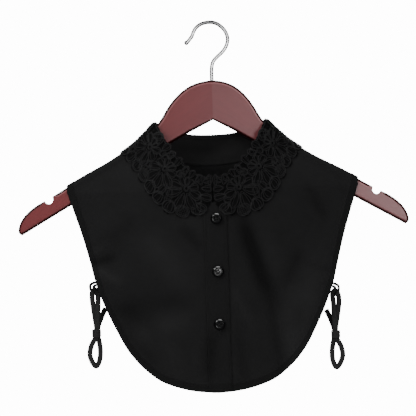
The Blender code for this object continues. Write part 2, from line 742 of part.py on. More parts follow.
def lace_layout():
    """Points, heights and triangles of one half of the lace, laid flat."""
    outline = lace_outline()
    holes = lace_holes()
    points = [outline]
    heights = [np.zeros(len(outline))]
    edges = [(i, (i + 1) % len(outline)) for i in range(len(outline))]
    taken = len(outline)
    for hole in holes:
        points.append(hole)
        heights.append(np.zeros(len(hole)))
        edges += [(taken + i, taken + (i + 1) % len(hole)) for i in range(len(hole))]
        taken += len(hole)
    fixed = np.vstack(points)
    for flower in FLOWERS:
        for kind, loop in petal_loops(flower):
            keep = inside(loop, outline) & (distance_to(loop, fixed) > 2.0)
            for hole in holes:
                keep &= distance_to(loop, hole.mean(axis=0)[None]) > 4.2
            points.append(loop[keep])
            heights.append(np.full(keep.sum(), LACE_RELIEF if kind == "crest" else 0.0))
    everything = np.vstack(points)
    over_arm = [(a, o) for a in np.arange(SADDLE_FROM, SADDLE_TO, 3.2) for o in np.arange(2, 56, 7)]
    elsewhere = [(a, o) for a in np.arange(5, LACE_LENGTH, 11) for o in np.arange(3, 56, 10)]
    spread = np.array(over_arm + elsewhere)
    apart = np.where((spread[:, 0] > SADDLE_FROM) & (spread[:, 0] < SADDLE_TO), 1.8, 4.2)
    free = inside(spread, outline) & (distance_to(spread, everything) > apart)
    free[len(over_arm):] &= apart[len(over_arm):] > 2
    for hole in holes:
        free &= distance_to(spread, hole.mean(axis=0)[None]) > 5
    points.append(spread[free])
    heights.append(np.full(free.sum(), 0.3 * LACE_RELIEF))
    flat = np.vstack(points)
    height = np.concatenate(heights)
    result = delaunay_2d_cdt([tuple(p) for p in flat], edges, [], 0, 0.001)
    flat_out = np.array([tuple(p) for p in result[0]])
    source = [origin[0] if origin else 0 for origin in result[3]]
    triangles = np.array([tuple(f) for f in result[2]])
    middle = flat_out[triangles].mean(axis=1)
    keep = inside(middle, outline)
    for hole in holes:
        keep &= ~inside(middle, hole)
    return flat_out, height[source], triangles[keep]


def make_lace(name, side):
    """A half of the lace: a plain inside, and petals raised in the outer points."""
    flat, height, triangles = lace_layout()
    used = np.unique(triangles)
    renumber = np.full(len(flat), -1)
    renumber[used] = np.arange(len(used))
    flat, height, triangles = flat[used], height[used], renumber[triangles]
    past_front = smooth_step((flat[:, 0] - SADDLE_FROM + 6) / 8)
    before_back = smooth_step((SADDLE_TO + 6 - flat[:, 0]) / 8)
    base = STAND_WALL + LACE_CLEARANCE + ARM_CLEARANCE * past_front * before_back
    inner = lace_surface(flat[:, 0], flat[:, 1], base, side)
    outer = lace_surface(flat[:, 0], flat[:, 1], base + LACE_BASE + height, side)
    count = len(flat)
    faces = [tuple(t) for t in triangles]
    faces += [tuple(count + k for k in reversed(tuple(t))) for t in triangles]
    directed = {(t[i], t[(i + 1) % 3]) for t in triangles.tolist() for i in range(3)}
    for a, b in directed:
        if (b, a) not in directed:
            faces.append((b, a, count + a, count + b))
    return make_object(name, np.vstack([inner, outer]), faces, BLACK_LACE, 60)


# Buttons and ties
def make_button(name, z):
    """A round button with a raised rim, a shallow dish and four holes."""
    seat = panel_y(BUTTON_X, z, False) - float(fold_height(BUTTON_X, z, FRONT_FOLDS))
    seat_y = float(seat) - CLOTH - BAND_WALL - 2 * SEAM_GAP - BUTTON_SHANK
    profile = [
        (0.0, 0.0), (BUTTON_RADIUS * 0.8, 0.0), (BUTTON_RADIUS, 0.9), (BUTTON_RADIUS, 1.9),
        (BUTTON_RADIUS * 0.93, BUTTON_THICK * 0.93), (BUTTON_RADIUS * 0.8, BUTTON_THICK),
        (BUTTON_RADIUS * 0.66, BUTTON_THICK * 0.72), (0.0, BUTTON_THICK * 0.66),
    ]
    shape = bmesh.new()
    line = [shape.verts.new((r * METRES, 0, h * METRES)) for r, h in profile]
    edges = [shape.edges.new(pair) for pair in zip(line, line[1:])]
    bmesh.ops.spin(
        shape, geom=line + edges, cent=(0, 0, 0), axis=(0, 0, 1), dvec=(0, 0, 0),
        angle=2 * math.pi, steps=16, use_merge=True, use_duplicate=False,
    )
    bmesh.ops.remove_doubles(shape, verts=shape.verts, dist=0.00001)
    bmesh.ops.recalc_face_normals(shape, faces=shape.faces)
    mesh = bpy.data.meshes.new(name)
    shape.to_mesh(mesh)
    shape.free()
    mesh.shade_smooth()
    mesh.set_sharp_from_angle(angle=math.radians(40))
    mesh.materials.append(make_material(name, BLACK_BUTTON))
    button = bpy.data.objects.new(name, mesh)
    bpy.context.collection.objects.link(button)
    button.location = (BUTTON_X * METRES, seat_y * METRES, z * METRES)
    button.rotation_euler = (math.radians(90), 0, 0)
    for k in range(4):
        cut = button.modifiers.new("sewing hole", "BOOLEAN")
        cut.operation = "DIFFERENCE"
        cut.solver = "EXACT"
        cut.object = sewing_hole(f"{name} hole {k}", button.location, k)


def sewing_hole(name, centre, corner):
    mesh = bpy.data.meshes.new(name)
    shape = bmesh.new()
    radius = BUTTON_HOLE_RADIUS * METRES
    bmesh.ops.create_cone(
        shape, cap_ends=True, segments=6, radius1=radius, radius2=radius, depth=12 * METRES
    )
    shape.to_mesh(mesh)
    shape.free()
    cutter = bpy.data.objects.new(name, mesh)
    bpy.context.collection.objects.link(cutter)
    turn = math.radians(45 + 90 * corner)
    spacing = BUTTON_HOLE_SPACING * METRES * math.sqrt(2)
    across = spacing * math.cos(turn)
    down = spacing * math.sin(turn)
    cutter.location = (centre[0] + across, centre[1], centre[2] + down)
    cutter.rotation_euler = (math.radians(90), 0, 0)
    cutter.hide_render = True
    cutter.display_type = "WIRE"
    return cutter


def tie_route(path, tie, per_span):
    """A route of the left tie, mirrored for the other side, lowered and leant in."""
    route = smooth_curve(path, per_span)
    hang = np.clip((TIE_TOP_Z - route[:, 2]) / TIE_LENGTH, 0, 1)
    swing = tie.out * smooth_step(hang / 0.28) - tie.lean * hang
    route[:, 0] = (route[:, 0] + swing - TIE_EDGE_SLOPE * tie.drop) * tie.side
    route[:, 2] -= tie.drop
    return route


def make_tie(tie):
    strap = tie_route(STRAP_PATH, tie, 2)
    tube(f"strap_{tie.name}", strap, STRAP_HALF_WIDTH, STRAP_HALF_THICK, 6, BLACK_CLOTH)
    loop = tie_route(LOOP_PATH, tie, 2)
    tube(f"cord_loop_{tie.name}", loop, LOOP_RADIUS, LOOP_RADIUS, 6, BLACK_CLOTH)
    make_keeper(tie)


def make_keeper(tie):
    """The ridged keeper that gathers the strap's runs, a short oval sleeve."""
    centre = tie_route([KEEPER_CENTRE, KEEPER_CENTRE], tie, 1)[0]
    turns = 2 * math.pi * np.arange(KEEPER_SIDES) / KEEPER_SIDES
    shape_x = np.sign(np.cos(turns)) * np.sqrt(np.abs(np.cos(turns)))
    shape_y = np.sign(np.sin(turns)) * np.sqrt(np.abs(np.sin(turns)))
    levels = np.linspace(-0.5, 0.5, 2 * KEEPER_RIDGES + 1)
    points = []
    for level in levels:
        ridge = KEEPER_RIDGE * math.sin(math.pi * (level + 0.5) * KEEPER_RIDGES) ** 2
        grow = KEEPER_WALL + ridge
        points.append(np.column_stack([
            (KEEPER_INNER[0] + grow) * shape_x, (KEEPER_INNER[1] + grow) * shape_y,
            np.full(KEEPER_SIDES, level * KEEPER_HEIGHT),
        ]))
    for level in (0.5, -0.5):
        points.append(np.column_stack([
            KEEPER_INNER[0] * shape_x, KEEPER_INNER[1] * shape_y,
            np.full(KEEPER_SIDES, level * KEEPER_HEIGHT),
        ]))
    faces = []
    for a in range(len(points)):
        b = (a + 1) % len(points)
        for i in range(KEEPER_SIDES):
            j = (i + 1) % KEEPER_SIDES
            a_ring = a * KEEPER_SIDES
            b_ring = b * KEEPER_SIDES
            faces.append((a_ring + i, a_ring + j, b_ring + j, b_ring + i))
    make_object(f"keeper_{tie.name}", np.vstack(points) + centre, faces, BLACK_CLOTH)


clear_scene()
make_arm("hanger_arm_left", -1)
make_arm("hanger_arm_right", 1)
make_hook()
make_panels()
make_button_band()
make_stand()
make_lace("lace_left", -1)
make_lace("lace_right", 1)
for number, height in enumerate(BUTTON_HEIGHTS, 1):
    make_button(f"button_{number}", height)
for tie in TIES:
    make_tie(tie)
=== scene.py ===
# %% [markdown]
# # A black lace collar hung on a wooden hanger
# The real thing is a loose shirt front for wearing under a sweater. It has two fronts with a button
# band, a back, a fabric stand round the neck and a wide fall of heavy flower lace. Straps at the
# sides tie front and back together. This script dresses a measured frame with sewn detail.

# %% Load the measured frame
import math
from collections import namedtuple

import bmesh
import bpy
import numpy as np
from mathutils import Matrix, Vector


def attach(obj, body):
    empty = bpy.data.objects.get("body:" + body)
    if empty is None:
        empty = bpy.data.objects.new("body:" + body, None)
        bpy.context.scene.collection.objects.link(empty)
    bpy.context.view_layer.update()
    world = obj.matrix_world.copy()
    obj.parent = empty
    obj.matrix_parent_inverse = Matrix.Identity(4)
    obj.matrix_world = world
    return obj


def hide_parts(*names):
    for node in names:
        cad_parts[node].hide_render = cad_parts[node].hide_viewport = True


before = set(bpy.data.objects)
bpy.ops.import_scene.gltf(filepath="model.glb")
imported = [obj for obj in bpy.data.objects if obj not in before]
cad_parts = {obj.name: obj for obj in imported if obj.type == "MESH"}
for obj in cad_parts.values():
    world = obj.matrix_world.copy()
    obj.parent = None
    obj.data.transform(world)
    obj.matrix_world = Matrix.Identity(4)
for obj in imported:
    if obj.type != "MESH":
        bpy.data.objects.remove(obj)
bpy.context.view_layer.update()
MM = 0.001
Point = namedtuple("Point", "x z")

# %% [markdown]
# ## Studio
# The photograph is a plain product shot: white all round, soft light from both sides and a level
# camera some way off. A long lens keeps the hanger's lines parallel. The camera is rolled a little,
# because the hanger's right tip stands higher in the picture. The floor is a pale disc below. Only
# the camera sees the bright surround: the pieces get a dim one that fades upwards, so that black
# cloth stays black. So bright a surround eats 0.7 mm off every edge, and thin wire, straps and
# cords are drawn wider by that much, to look as thick as they are.

# %% Camera
CAMERA_DISTANCE = 2350.0
CAMERA_ROLL = math.radians(1.8)
VIEW_CENTRE = Vector((-5.8, 0, -209.7))
VIEW_WIDTH = 472.0
camera_data = bpy.data.cameras.new("photo camera")
camera_data.sensor_width = 36.0
camera_data.lens = 36.0 * CAMERA_DISTANCE / VIEW_WIDTH
camera = bpy.data.objects.new("photo camera", camera_data)
bpy.context.collection.objects.link(camera)
right = Vector((math.cos(CAMERA_ROLL), 0, -math.sin(CAMERA_ROLL)))
up = Vector((math.sin(CAMERA_ROLL), 0, math.cos(CAMERA_ROLL)))
turn = Matrix((right, up, Vector((0, -1, 0)))).transposed()
camera_place = VIEW_CENTRE + Vector((0, -CAMERA_DISTANCE, 0))
camera.matrix_world = Matrix.Translation(camera_place * MM) @ turn.to_4x4()
bpy.context.scene.camera = camera
print("lens in mm:", round(camera_data.lens))

# %% Soft boxes, pale floor and white surround
SoftBox = namedtuple("SoftBox", "name place aim size power")
SOFT_BOXES = [
    SoftBox("left box", (-1300, -1300, 900), (0, 0, -220), 900, 38),
    SoftBox("right box", (720, -2350, -160), (60, 0, -160), 640, 22),
    SoftBox("top box", (150, -500, 1500), (0, 0, -200), 1400, 24),
    SoftBox("rear box", (500, 1600, 700), (0, 0, -200), 1000, 20),
]
for box in SOFT_BOXES:
    light = bpy.data.lights.new(box.name, "AREA")
    light.size = box.size * MM
    light.energy = box.power
    lamp = bpy.data.objects.new(box.name, light)
    bpy.context.collection.objects.link(lamp)
    lamp.location = Vector(box.place) * MM
    look = (Vector(box.aim) - Vector(box.place)).to_track_quat("-Z", "Y")
    lamp.rotation_euler = look.to_euler()
world = bpy.data.worlds.new("white surround")
bpy.context.scene.world = world
world.use_nodes = True
sky = world.node_tree
sky.nodes.clear()
surround = sky.nodes.new("ShaderNodeBackground")
direction = sky.nodes.new("ShaderNodeTexCoord")
tall = sky.nodes.new("ShaderNodeSeparateXYZ")
sky.links.new(direction.outputs["Generated"], tall.inputs[0])
level = sky.nodes.new("ShaderNodeMapRange")
for label, value in (("From Min", -0.1), ("From Max", 0.75), ("To Min", 0.45), ("To Max", 0.06)):
    level.inputs[label].default_value = value
sky.links.new(tall.outputs[2], level.inputs["Value"])
sky.links.new(level.outputs["Result"], surround.inputs["Strength"])
seen = sky.nodes.new("ShaderNodeBackground")
seen.inputs["Strength"].default_value = 14.0
choose = sky.nodes.new("ShaderNodeMixShader")
rays = sky.nodes.new("ShaderNodeLightPath")
result = sky.nodes.new("ShaderNodeOutputWorld")
sky.links.new(rays.outputs["Is Camera Ray"], choose.inputs["Fac"])
sky.links.new(surround.outputs[0], choose.inputs[1])
sky.links.new(seen.outputs[0], choose.inputs[2])
sky.links.new(choose.outputs[0], result.inputs["Surface"])
for node in (surround, seen):
    node.inputs["Color"].default_value = (1, 1, 1, 1)
print("soft boxes:", len(SOFT_BOXES))

# %% [markdown]
# ## Helpers for soft shapes
# Cloth and cords follow curves, so a few helpers come first. Each piece starts as one grid from
# create_grid, and every corner of it is moved to its place. Wrapped round a path, the same grid is
# a wire, a cord or a strap. This keeps quads even, and one operator makes each piece.

# %% Curves
def smooth_step(value):
    value = np.clip(value, 0, 1)
    return value * value * (3 - 2 * value)


def smooth_curve(points, per_span=6):
    """A Catmull-Rom curve through every point."""
    points = np.asarray(points, float)
    padded = np.vstack([2 * points[0] - points[1], points, 2 * points[-1] - points[-2]])
    curve = []
    for i in range(1, len(padded) - 2):
        before, start, end, after = padded[i - 1:i + 3]
        for t in np.arange(per_span) / per_span:
            a = 2 * t**3 - 3 * t**2 + 1
            b = t**3 - 2 * t**2 + t
            c = -2 * t**3 + 3 * t**2
            d = t**3 - t**2
            curve.append(a * start + b * (end - before) / 2 + c * end + d * (after - start) / 2)
    curve.append(points[-1])
    return np.array(curve)


def lengths_along(curve):
    return np.concatenate([[0], np.cumsum(np.linalg.norm(np.diff(curve, axis=0), axis=1))])


def evenly(curve, count):
    along = lengths_along(curve)
    steps = np.linspace(0, along[-1], count)
    return np.column_stack([np.interp(steps, along, curve[:, k]) for k in range(curve.shape[1])])


def unit(vectors):
    return vectors / np.maximum(np.linalg.norm(vectors, axis=-1), 1e-9)[..., None]


def squarish(wave, power):
    """A power under 1 turns a round sine or cosine into one with flatter sides."""
    return np.sign(wave) * np.abs(wave) ** power


print("a curve through three points has", len(smooth_curve([(0, 0), (1, 2), (3, 3)])), "points")


# %% Grids and sweeps
def lay_grid(bm, across, down, place, pattern):
    """A grid whose corners go to place(u, v); pattern(u, v) gives its texture place in mm."""
    layer = bm.loops.layers.uv.verify()
    made = bmesh.ops.create_grid(bm, x_segments=across, y_segments=down, size=1)["verts"]
    share = np.array([vert.co[:2] for vert in made]) / 2 + 0.5
    points = place(share[:, 0], share[:, 1]).tolist()
    marks = (np.column_stack(pattern(share[:, 0], share[:, 1])) * MM).tolist()
    for vert, point, mark in zip(made, points, marks):
        vert.co = point
        for loop in vert.link_loops:
            loop[layer].uv = mark
    return made


def sweep(bm, path, half_width, half_depth=None, sides=6, up=(0, 0, 1), closed=False, square=1.0):
    """A grid wrapped round a path. Open ends are rounded off and closed."""
    path = np.asarray(path, float)
    half_depth = half_width if half_depth is None else half_depth
    if closed:
        ahead = np.roll(path, -1, axis=0) - np.roll(path, 1, axis=0)
        path, ahead = np.vstack([path, path[:1]]), np.vstack([ahead, ahead[:1]])
        scale = np.ones(len(path))
    else:
        ahead = unit(np.gradient(path, axis=0))
        first, last = ahead[0] * half_depth, ahead[-1] * half_depth
        path = np.vstack([
            path[0] - first, path[0] - 0.7 * first, path, path[-1] + 0.7 * last, path[-1] + last])
        ahead = np.vstack([ahead[:1], ahead[:1], ahead, ahead[-1:], ahead[-1:]])
        scale = np.concatenate([[0, 0.71], np.ones(len(path) - 4), [0.71, 0]])
    ahead = unit(ahead)
    side = unit(np.cross(ahead, np.broadcast_to(np.asarray(up, float), ahead.shape)))
    face = np.cross(side, ahead)
    along = lengths_along(path)
    last_ring = len(path) - 1

    def place(u, v):
        ring = np.rint(v * last_ring).astype(int)
        c, s = squarish(np.cos(2 * math.pi * u), square), squarish(np.sin(2 * math.pi * u), square)
        reach = side[ring] * (c * half_width)[:, None] + face[ring] * (s * half_depth)[:, None]
        return path[ring] + reach * scale[ring][:, None]

    def pattern(u, v):
        return u * math.pi * (half_width + half_depth), along[np.rint(v * last_ring).astype(int)]

    return lay_grid(bm, sides, last_ring, place, pattern)


def finish_piece(bm, name, material, closed=True, sharp=None):
    """Turns a bmesh in millimetres into an object that rides on the hanger."""
    bmesh.ops.remove_doubles(bm, verts=bm.verts, dist=0.004)
    if closed:
        bmesh.ops.recalc_face_normals(bm, faces=bm.faces)
    bmesh.ops.scale(bm, vec=(MM, MM, MM), verts=bm.verts)
    mesh = bpy.data.meshes.new(name)
    bm.to_mesh(mesh)
    bm.free()
    mesh.shade_smooth()
    if sharp:
        mesh.set_sharp_from_angle(angle=math.radians(sharp))
    mesh.materials.append(material)
    piece = bpy.data.objects.new(name, mesh)
    bpy.context.collection.objects.link(piece)
    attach(piece, "root")
    return piece


def gather(bm, other):
    """Adds one bmesh to another, so that small pieces are built apart and quickly."""
    mesh = bpy.data.meshes.new("part")
    other.to_mesh(mesh)
    other.free()
    bm.from_mesh(mesh)
    bpy.data.meshes.remove(mesh)


def add_sweep(bm, path, *sizes, **ways):
    """Sweeps a section along a path and adds it to a bmesh."""
    part = bmesh.new()
    sweep(part, path, *sizes, **ways)
    gather(bm, part)


print("helpers ready")

# %% [markdown]
# ## Surfaces
# Four effects appear in more than one finish, so each is a node group: the plain weave of the
# shirting, the slubs that mottle it, the twist of sewing thread, and the grain of the wood. They
# put out heights and masks only, and the shader that uses them stays in each material.

# %% Node helpers
def calc(tree, operation, *values):
    node = tree.nodes.new("ShaderNodeMath")
    node.operation = operation
    for slot, value in zip(node.inputs, values):
        if isinstance(value, (int, float)):
            slot.default_value = value
        else:
            tree.links.new(value, slot)
    return node.outputs[0]


def start_group(name, inputs, outputs):
    tree = bpy.data.node_groups.new(name, "ShaderNodeTree")
    for label, kind, value in inputs:
        slot = tree.interface.new_socket(name=label, in_out="INPUT", socket_type=kind)
        if value is not None:
            slot.default_value = value
    for label in outputs:
        tree.interface.new_socket(name=label, in_out="OUTPUT", socket_type="NodeSocketFloat")
    enter = tree.nodes.new("NodeGroupInput").outputs
    leave = tree.nodes.new("NodeGroupOutput").inputs
    return tree, enter, leave


def noise(tree, vector, scale, detail=3.0, roughness=0.55):
    node = tree.nodes.new("ShaderNodeTexNoise")
    node.inputs["Scale"].default_value = scale
    node.inputs["Detail"].default_value = detail
    node.inputs["Roughness"].default_value = roughness
    tree.links.new(vector, node.inputs["Vector"])
    return node.outputs["Fac"]


def stretch(tree, vector, scale, rotation=(0, 0, 0)):
    node = tree.nodes.new("ShaderNodeMapping")
    node.inputs["Scale"].default_value = scale
    node.inputs["Rotation"].default_value = rotation
    tree.links.new(vector, node.inputs["Vector"])
    return node.outputs["Vector"]


def ripple(tree, value, pitch):
    """A sine whose half wave is one pitch long."""
    return calc(tree, "SINE", calc(tree, "MULTIPLY", calc(tree, "DIVIDE", value, pitch), math.pi))


print("node helpers ready")

# %% Weave, slub, twist and grain
FLOAT, VECTOR = "NodeSocketFloat", "NodeSocketVector"
weave, enter, leave = start_group(
    "plain weave", [("Vector", VECTOR, None), ("Pitch", FLOAT, 0.0004)], ["Height"])
split = weave.nodes.new("ShaderNodeSeparateXYZ")
weave.links.new(enter["Vector"], split.inputs[0])
warp, weft = (ripple(weave, split.outputs[axis], enter["Pitch"]) for axis in (0, 1))
over = calc(weave, "GREATER_THAN", calc(weave, "MULTIPLY", warp, weft), 0.0)
high = calc(weave, "MULTIPLY", calc(weave, "ABSOLUTE", warp), over)
low = calc(weave, "MULTIPLY", calc(weave, "ABSOLUTE", weft), calc(weave, "SUBTRACT", 1.0, over))
weave.links.new(calc(weave, "ADD", high, low), leave["Height"])

slub, enter, leave = start_group("slub", [("Vector", VECTOR, None)], ["Mask"])
warp_way = noise(slub, stretch(slub, enter["Vector"], (1400, 130, 1)), 1.0, 2.0)
weft_way = noise(slub, stretch(slub, enter["Vector"], (110, 1300, 1)), 1.0, 2.0)
cloudy = noise(slub, enter["Vector"], 26.0, 3.0)
crossed = calc(slub, "MULTIPLY", calc(slub, "ADD", warp_way, weft_way), 0.3)
mixed = calc(slub, "ADD", crossed, calc(slub, "MULTIPLY", cloudy, 0.4))
slub.links.new(calc(slub, "MULTIPLY_ADD", mixed, 2.4, -0.7), leave["Mask"])

twist, enter, leave = start_group(
    "thread twist", [("Vector", VECTOR, None), ("Pitch", FLOAT, 0.0006), ("Slant", FLOAT, 1.0)], ["Height"])
split = twist.nodes.new("ShaderNodeSeparateXYZ")
twist.links.new(enter["Vector"], split.inputs[0])
slanted = calc(twist, "ADD", split.outputs[1], calc(twist, "MULTIPLY", split.outputs[0], enter["Slant"]))
twist.links.new(calc(twist, "ABSOLUTE", ripple(twist, slanted, enter["Pitch"])), leave["Height"])

grain, enter, leave = start_group("wood grain", [("Vector", VECTOR, None)], ["Figure", "Pores"])
bent = calc(grain, "MULTIPLY", noise(grain, stretch(grain, enter["Vector"], (5, 30, 30)), 1.0, 2.0), 9.0)
rings = noise(grain, stretch(grain, enter["Vector"], (7, 95, 95)), 1.0, 4.0, 0.6)
wavy = calc(grain, "SINE", calc(grain, "ADD", bent, calc(grain, "MULTIPLY", rings, 22.0)))
bands = calc(grain, "MULTIPLY_ADD", wavy, 0.28, 0.5)
pores = noise(grain, stretch(grain, enter["Vector"], (60, 1500, 1500)), 1.0, 1.0)
figure = calc(grain, "ADD", calc(grain, "MULTIPLY", bands, 0.6), calc(grain, "MULTIPLY", rings, 0.4))
grain.links.new(figure, leave["Figure"])
grain.links.new(calc(grain, "GREATER_THAN", pores, 0.6), leave["Pores"])
print("groups:", [tree.name for tree in (weave, slub, twist, grain)])

# %% [markdown]
# ## Finishes
# Everything sewn is black, so only sheen, thread relief and small changes of depth tell cloth from lace.
# The shirting is matte. Its hems are painted a little darker, a painted shade for the back light that two
# layers let through less, and the hollows beside its folds are painted darker and their ridges lighter,
# painted shade and light: both come from values stored on the points of the mesh. The ground of the lace is
# darker than the glossier cords on it, whose lighter colour is a painted highlight, the buttons are
# polished, and the straps and cord loops have a bigger thread.

# %% Material builder
def use_group(tree, group, **values):
    node = tree.nodes.new("ShaderNodeGroup")
    node.node_tree = group
    for label, value in values.items():
        if isinstance(value, (int, float)):
            node.inputs[label].default_value = value
        else:
            tree.links.new(value, node.inputs[label])
    return node.outputs


def start_material(name, roughness, **constants):
    material = bpy.data.materials.new(name)
    material.use_nodes = True
    tree = material.node_tree
    shader = tree.nodes["Principled BSDF"]
    shader.inputs["Roughness"].default_value = roughness
    for label, value in constants.items():
        shader.inputs[label.replace("_", " ")].default_value = value
    place = tree.nodes.new("ShaderNodeTexCoord").outputs
    return material, tree, shader, place


def blend_colours(tree, factor, first, second):
    node = tree.nodes.new("ShaderNodeMix")
    node.data_type = "RGBA"
    for label, value in (("A", first), ("B", second)):
        slot = [entry for entry in node.inputs if entry.name == label and entry.type == "RGBA"][0]
        if isinstance(value, tuple):
            slot.default_value = (*value, 1)
        else:
            tree.links.new(value, slot)
    tree.links.new(factor, node.inputs["Factor"])
    return [entry for entry in node.outputs if entry.type == "RGBA"][0]


def feed(tree, shader, label, value):
    tree.links.new(value, shader.inputs[label])


def stored(tree, name):
    """A value that the mesh stores on its points."""
    node = tree.nodes.new("ShaderNodeAttribute")
    node.attribute_name = name
    return node.outputs["Fac"]


def raise_surface(tree, shader, height, distance, strength=1.0):
    bump = tree.nodes.new("ShaderNodeBump")
    bump.inputs["Distance"].default_value = distance
    bump.inputs["Strength"].default_value = strength
    tree.links.new(height, bump.inputs["Height"])
    feed(tree, shader, "Normal", bump.outputs["Normal"])


print("material helpers ready")

# %% Black shirting
cloth, tree, shader, place = start_material(
    "black shirting", 0.82, Sheen_Weight=0.03, Sheen_Roughness=0.45)
mottle = use_group(tree, slub, Vector=place["UV"])["Mask"]
plain = blend_colours(tree, mottle, (0.0033, 0.0033, 0.0034), (0.0064, 0.0064, 0.0066))
# Painted shade: hems and the button band, where two layers let less back light through, are painted darker.
layered = blend_colours(tree, stored(tree, "painted_layer_shade"), plain, (0.0026, 0.0026, 0.0027))
# Painted shade and light: the stored fold value darkens the colour and the specular level in the troughs of
# the folds and lightens them on the ridges.
shading = calc(tree, "MULTIPLY_ADD", stored(tree, "painted_fold_shade"), -0.9, 1.42)
shaded = tree.nodes.new("ShaderNodeHueSaturation")
tree.links.new(layered, shaded.inputs["Color"])
tree.links.new(shading, shaded.inputs["Value"])
feed(tree, shader, "Base Color", shaded.outputs["Color"])
feed(tree, shader, "Specular IOR Level", calc(tree, "MULTIPLY", shading, 0.12))
threads = use_group(tree, weave, Vector=place["UV"], Pitch=0.00042)["Height"]
relief = calc(tree, "ADD", threads, calc(tree, "MULTIPLY", mottle, 0.8))
raise_surface(tree, shader, relief, 0.00006, 0.7)
print("cloth ready")

# %% Lace thread, strap and stitching
def make_thread(name, roughness, pitch, slant, shades, relief, **constants):
    """Twisted thread, with painted shade between its strands and a painted highlight on top of them."""
    material, tree, shader, place = start_material(name, roughness, **constants)
    strands = use_group(tree, twist, Vector=place["UV"], Pitch=pitch, Slant=slant)["Height"]
    feed(tree, shader, "Base Color", blend_colours(tree, strands, *shades))
    raise_surface(tree, shader, strands, *relief)
    return material


lace_fill = make_thread(
    "lace fill", 0.7, 0.00050, 0.12, [(0.0014, 0.0014, 0.0014), (0.0042, 0.0042, 0.0043)],
    (0.00010, 0.8), Specular_IOR_Level=0.03)
# Painted highlight: the cords' colours are lighter than the fill's, for the glints that round cords catch;
# their higher specular level is their own gloss.
lace_thread = make_thread(
    "lace cord", 0.5, 0.00042, 0.6, [(0.0028, 0.0028, 0.0029), (0.0112, 0.0112, 0.0116)],
    (0.00008, 0.7), Specular_IOR_Level=0.14)
strap_cloth = make_thread(
    "strap weave", 0.7, 0.0007, 1.0, [(0.0030, 0.0030, 0.0032), (0.0085, 0.0085, 0.0088)],
    (0.00012, 0.8), Specular_IOR_Level=0.2, Sheen_Weight=0.04, Sheen_Roughness=0.4)
seam_thread = make_thread(
    "sewing thread", 0.6, 0.00025, 1.0, [(0.0018, 0.0018, 0.0019), (0.0060, 0.0060, 0.0062)],
    (0.00004, 0.6), Specular_IOR_Level=0.12)
print("threads ready")

# %% Polished button
button_gloss, tree, shader, place = start_material("polished button", 0.12)
swirl = noise(tree, place["Object"], 260.0, 3.0)
black = blend_colours(tree, swirl, (0.0006, 0.0006, 0.0007), (0.0016, 0.0016, 0.0018))
feed(tree, shader, "Base Color", black)
scuffs = noise(tree, stretch(tree, place["Object"], (900, 900, 2400)), 1.0, 4.0)
feed(tree, shader, "Roughness", calc(tree, "MULTIPLY_ADD", scuffs, 0.05, 0.15))
# Painted reflection: the stored shine sets the specular level by the way each point faces.
feed(tree, shader, "Specular IOR Level", stored(tree, "painted_shine"))
print("button ready")

# %% [markdown]
# ## Bright wire
# Plated wire is a mirror, and in a white studio it mirrors white in its middle, the dark room along
# its edges, and the dark ceiling over the crown of its bend. A mirror of a plain surround has
# nothing dark to show, so both dark parts are put into the finish: one from how far the surface
# turns away from the eye, the other from its height.

# %% Plated wire
CROWN_FROM, CROWN_RISE = 0.72, 90.0
EDGE_FROM, EDGE_RISE = -0.5, 17.0
bright_wire, tree, shader, place = start_material("bright plated wire", 0.12)
worn = noise(tree, place["Object"], 120.0, 4.0)
plated = blend_colours(tree, worn, (0.80, 0.80, 0.81), (0.92, 0.92, 0.93))
facing = tree.nodes.new("ShaderNodeLayerWeight")
facing.inputs["Blend"].default_value = 0.5
edge_on = calc(tree, "MULTIPLY_ADD", facing.outputs["Facing"], EDGE_RISE, EDGE_FROM)
split = tree.nodes.new("ShaderNodeSeparateXYZ")
tree.links.new(place["Object"], split.inputs[0])
crown = calc(tree, "MULTIPLY_ADD", split.outputs[2], CROWN_RISE, CROWN_FROM)
# Painted reflection: edges and the crown of the bend are painted dark and less metallic, for the dark room
# and ceiling a mirror shows there.
painted_dark_reflection = calc(tree, "ADD", calc(tree, "MAXIMUM", edge_on, 0.0), calc(tree, "MAXIMUM", crown, 0.0))
painted_dark_reflection = calc(tree, "MINIMUM", painted_dark_reflection, 1.0)
mirrored = calc(tree, "SUBTRACT", 1.0, painted_dark_reflection)
feed(tree, shader, "Base Color", blend_colours(tree, painted_dark_reflection, plated, (0.015, 0.015, 0.017)))
feed(tree, shader, "Metallic", calc(tree, "MULTIPLY", mirrored, 0.85))
feed(tree, shader, "Specular IOR Level", calc(tree, "MULTIPLY", mirrored, 0.5))
drawn = noise(tree, stretch(tree, place["Object"], (900, 900, 200)), 1.0, 2.0)
feed(tree, shader, "Roughness", calc(tree, "MULTIPLY_ADD", drawn, 0.05, 0.32))
print("wire ready")

# %% [markdown]
# ## Stained wood
# The board is stained red-brown and lacquered. Its rounded edges are painted nearly black with a weaker
# reflection, a painted shade, and a thin lighter line, a painted highlight, runs where the rounding of the
# top edge meets the face. The two arms differ a little in depth and shine, painted shade on the left arm
# and painted light on the right, and more so further from the joint.

# %% Red stained wood
WOOD_DARK, WOOD_LIGHT = (0.090, 0.0138, 0.0158), (0.115, 0.0190, 0.0218)
WOOD_PORE, WOOD_RIM_SHADE, WOOD_GLEAM = (0.055, 0.009, 0.010), (0.010, 0.0010, 0.0013), (0.30, 0.12, 0.125)


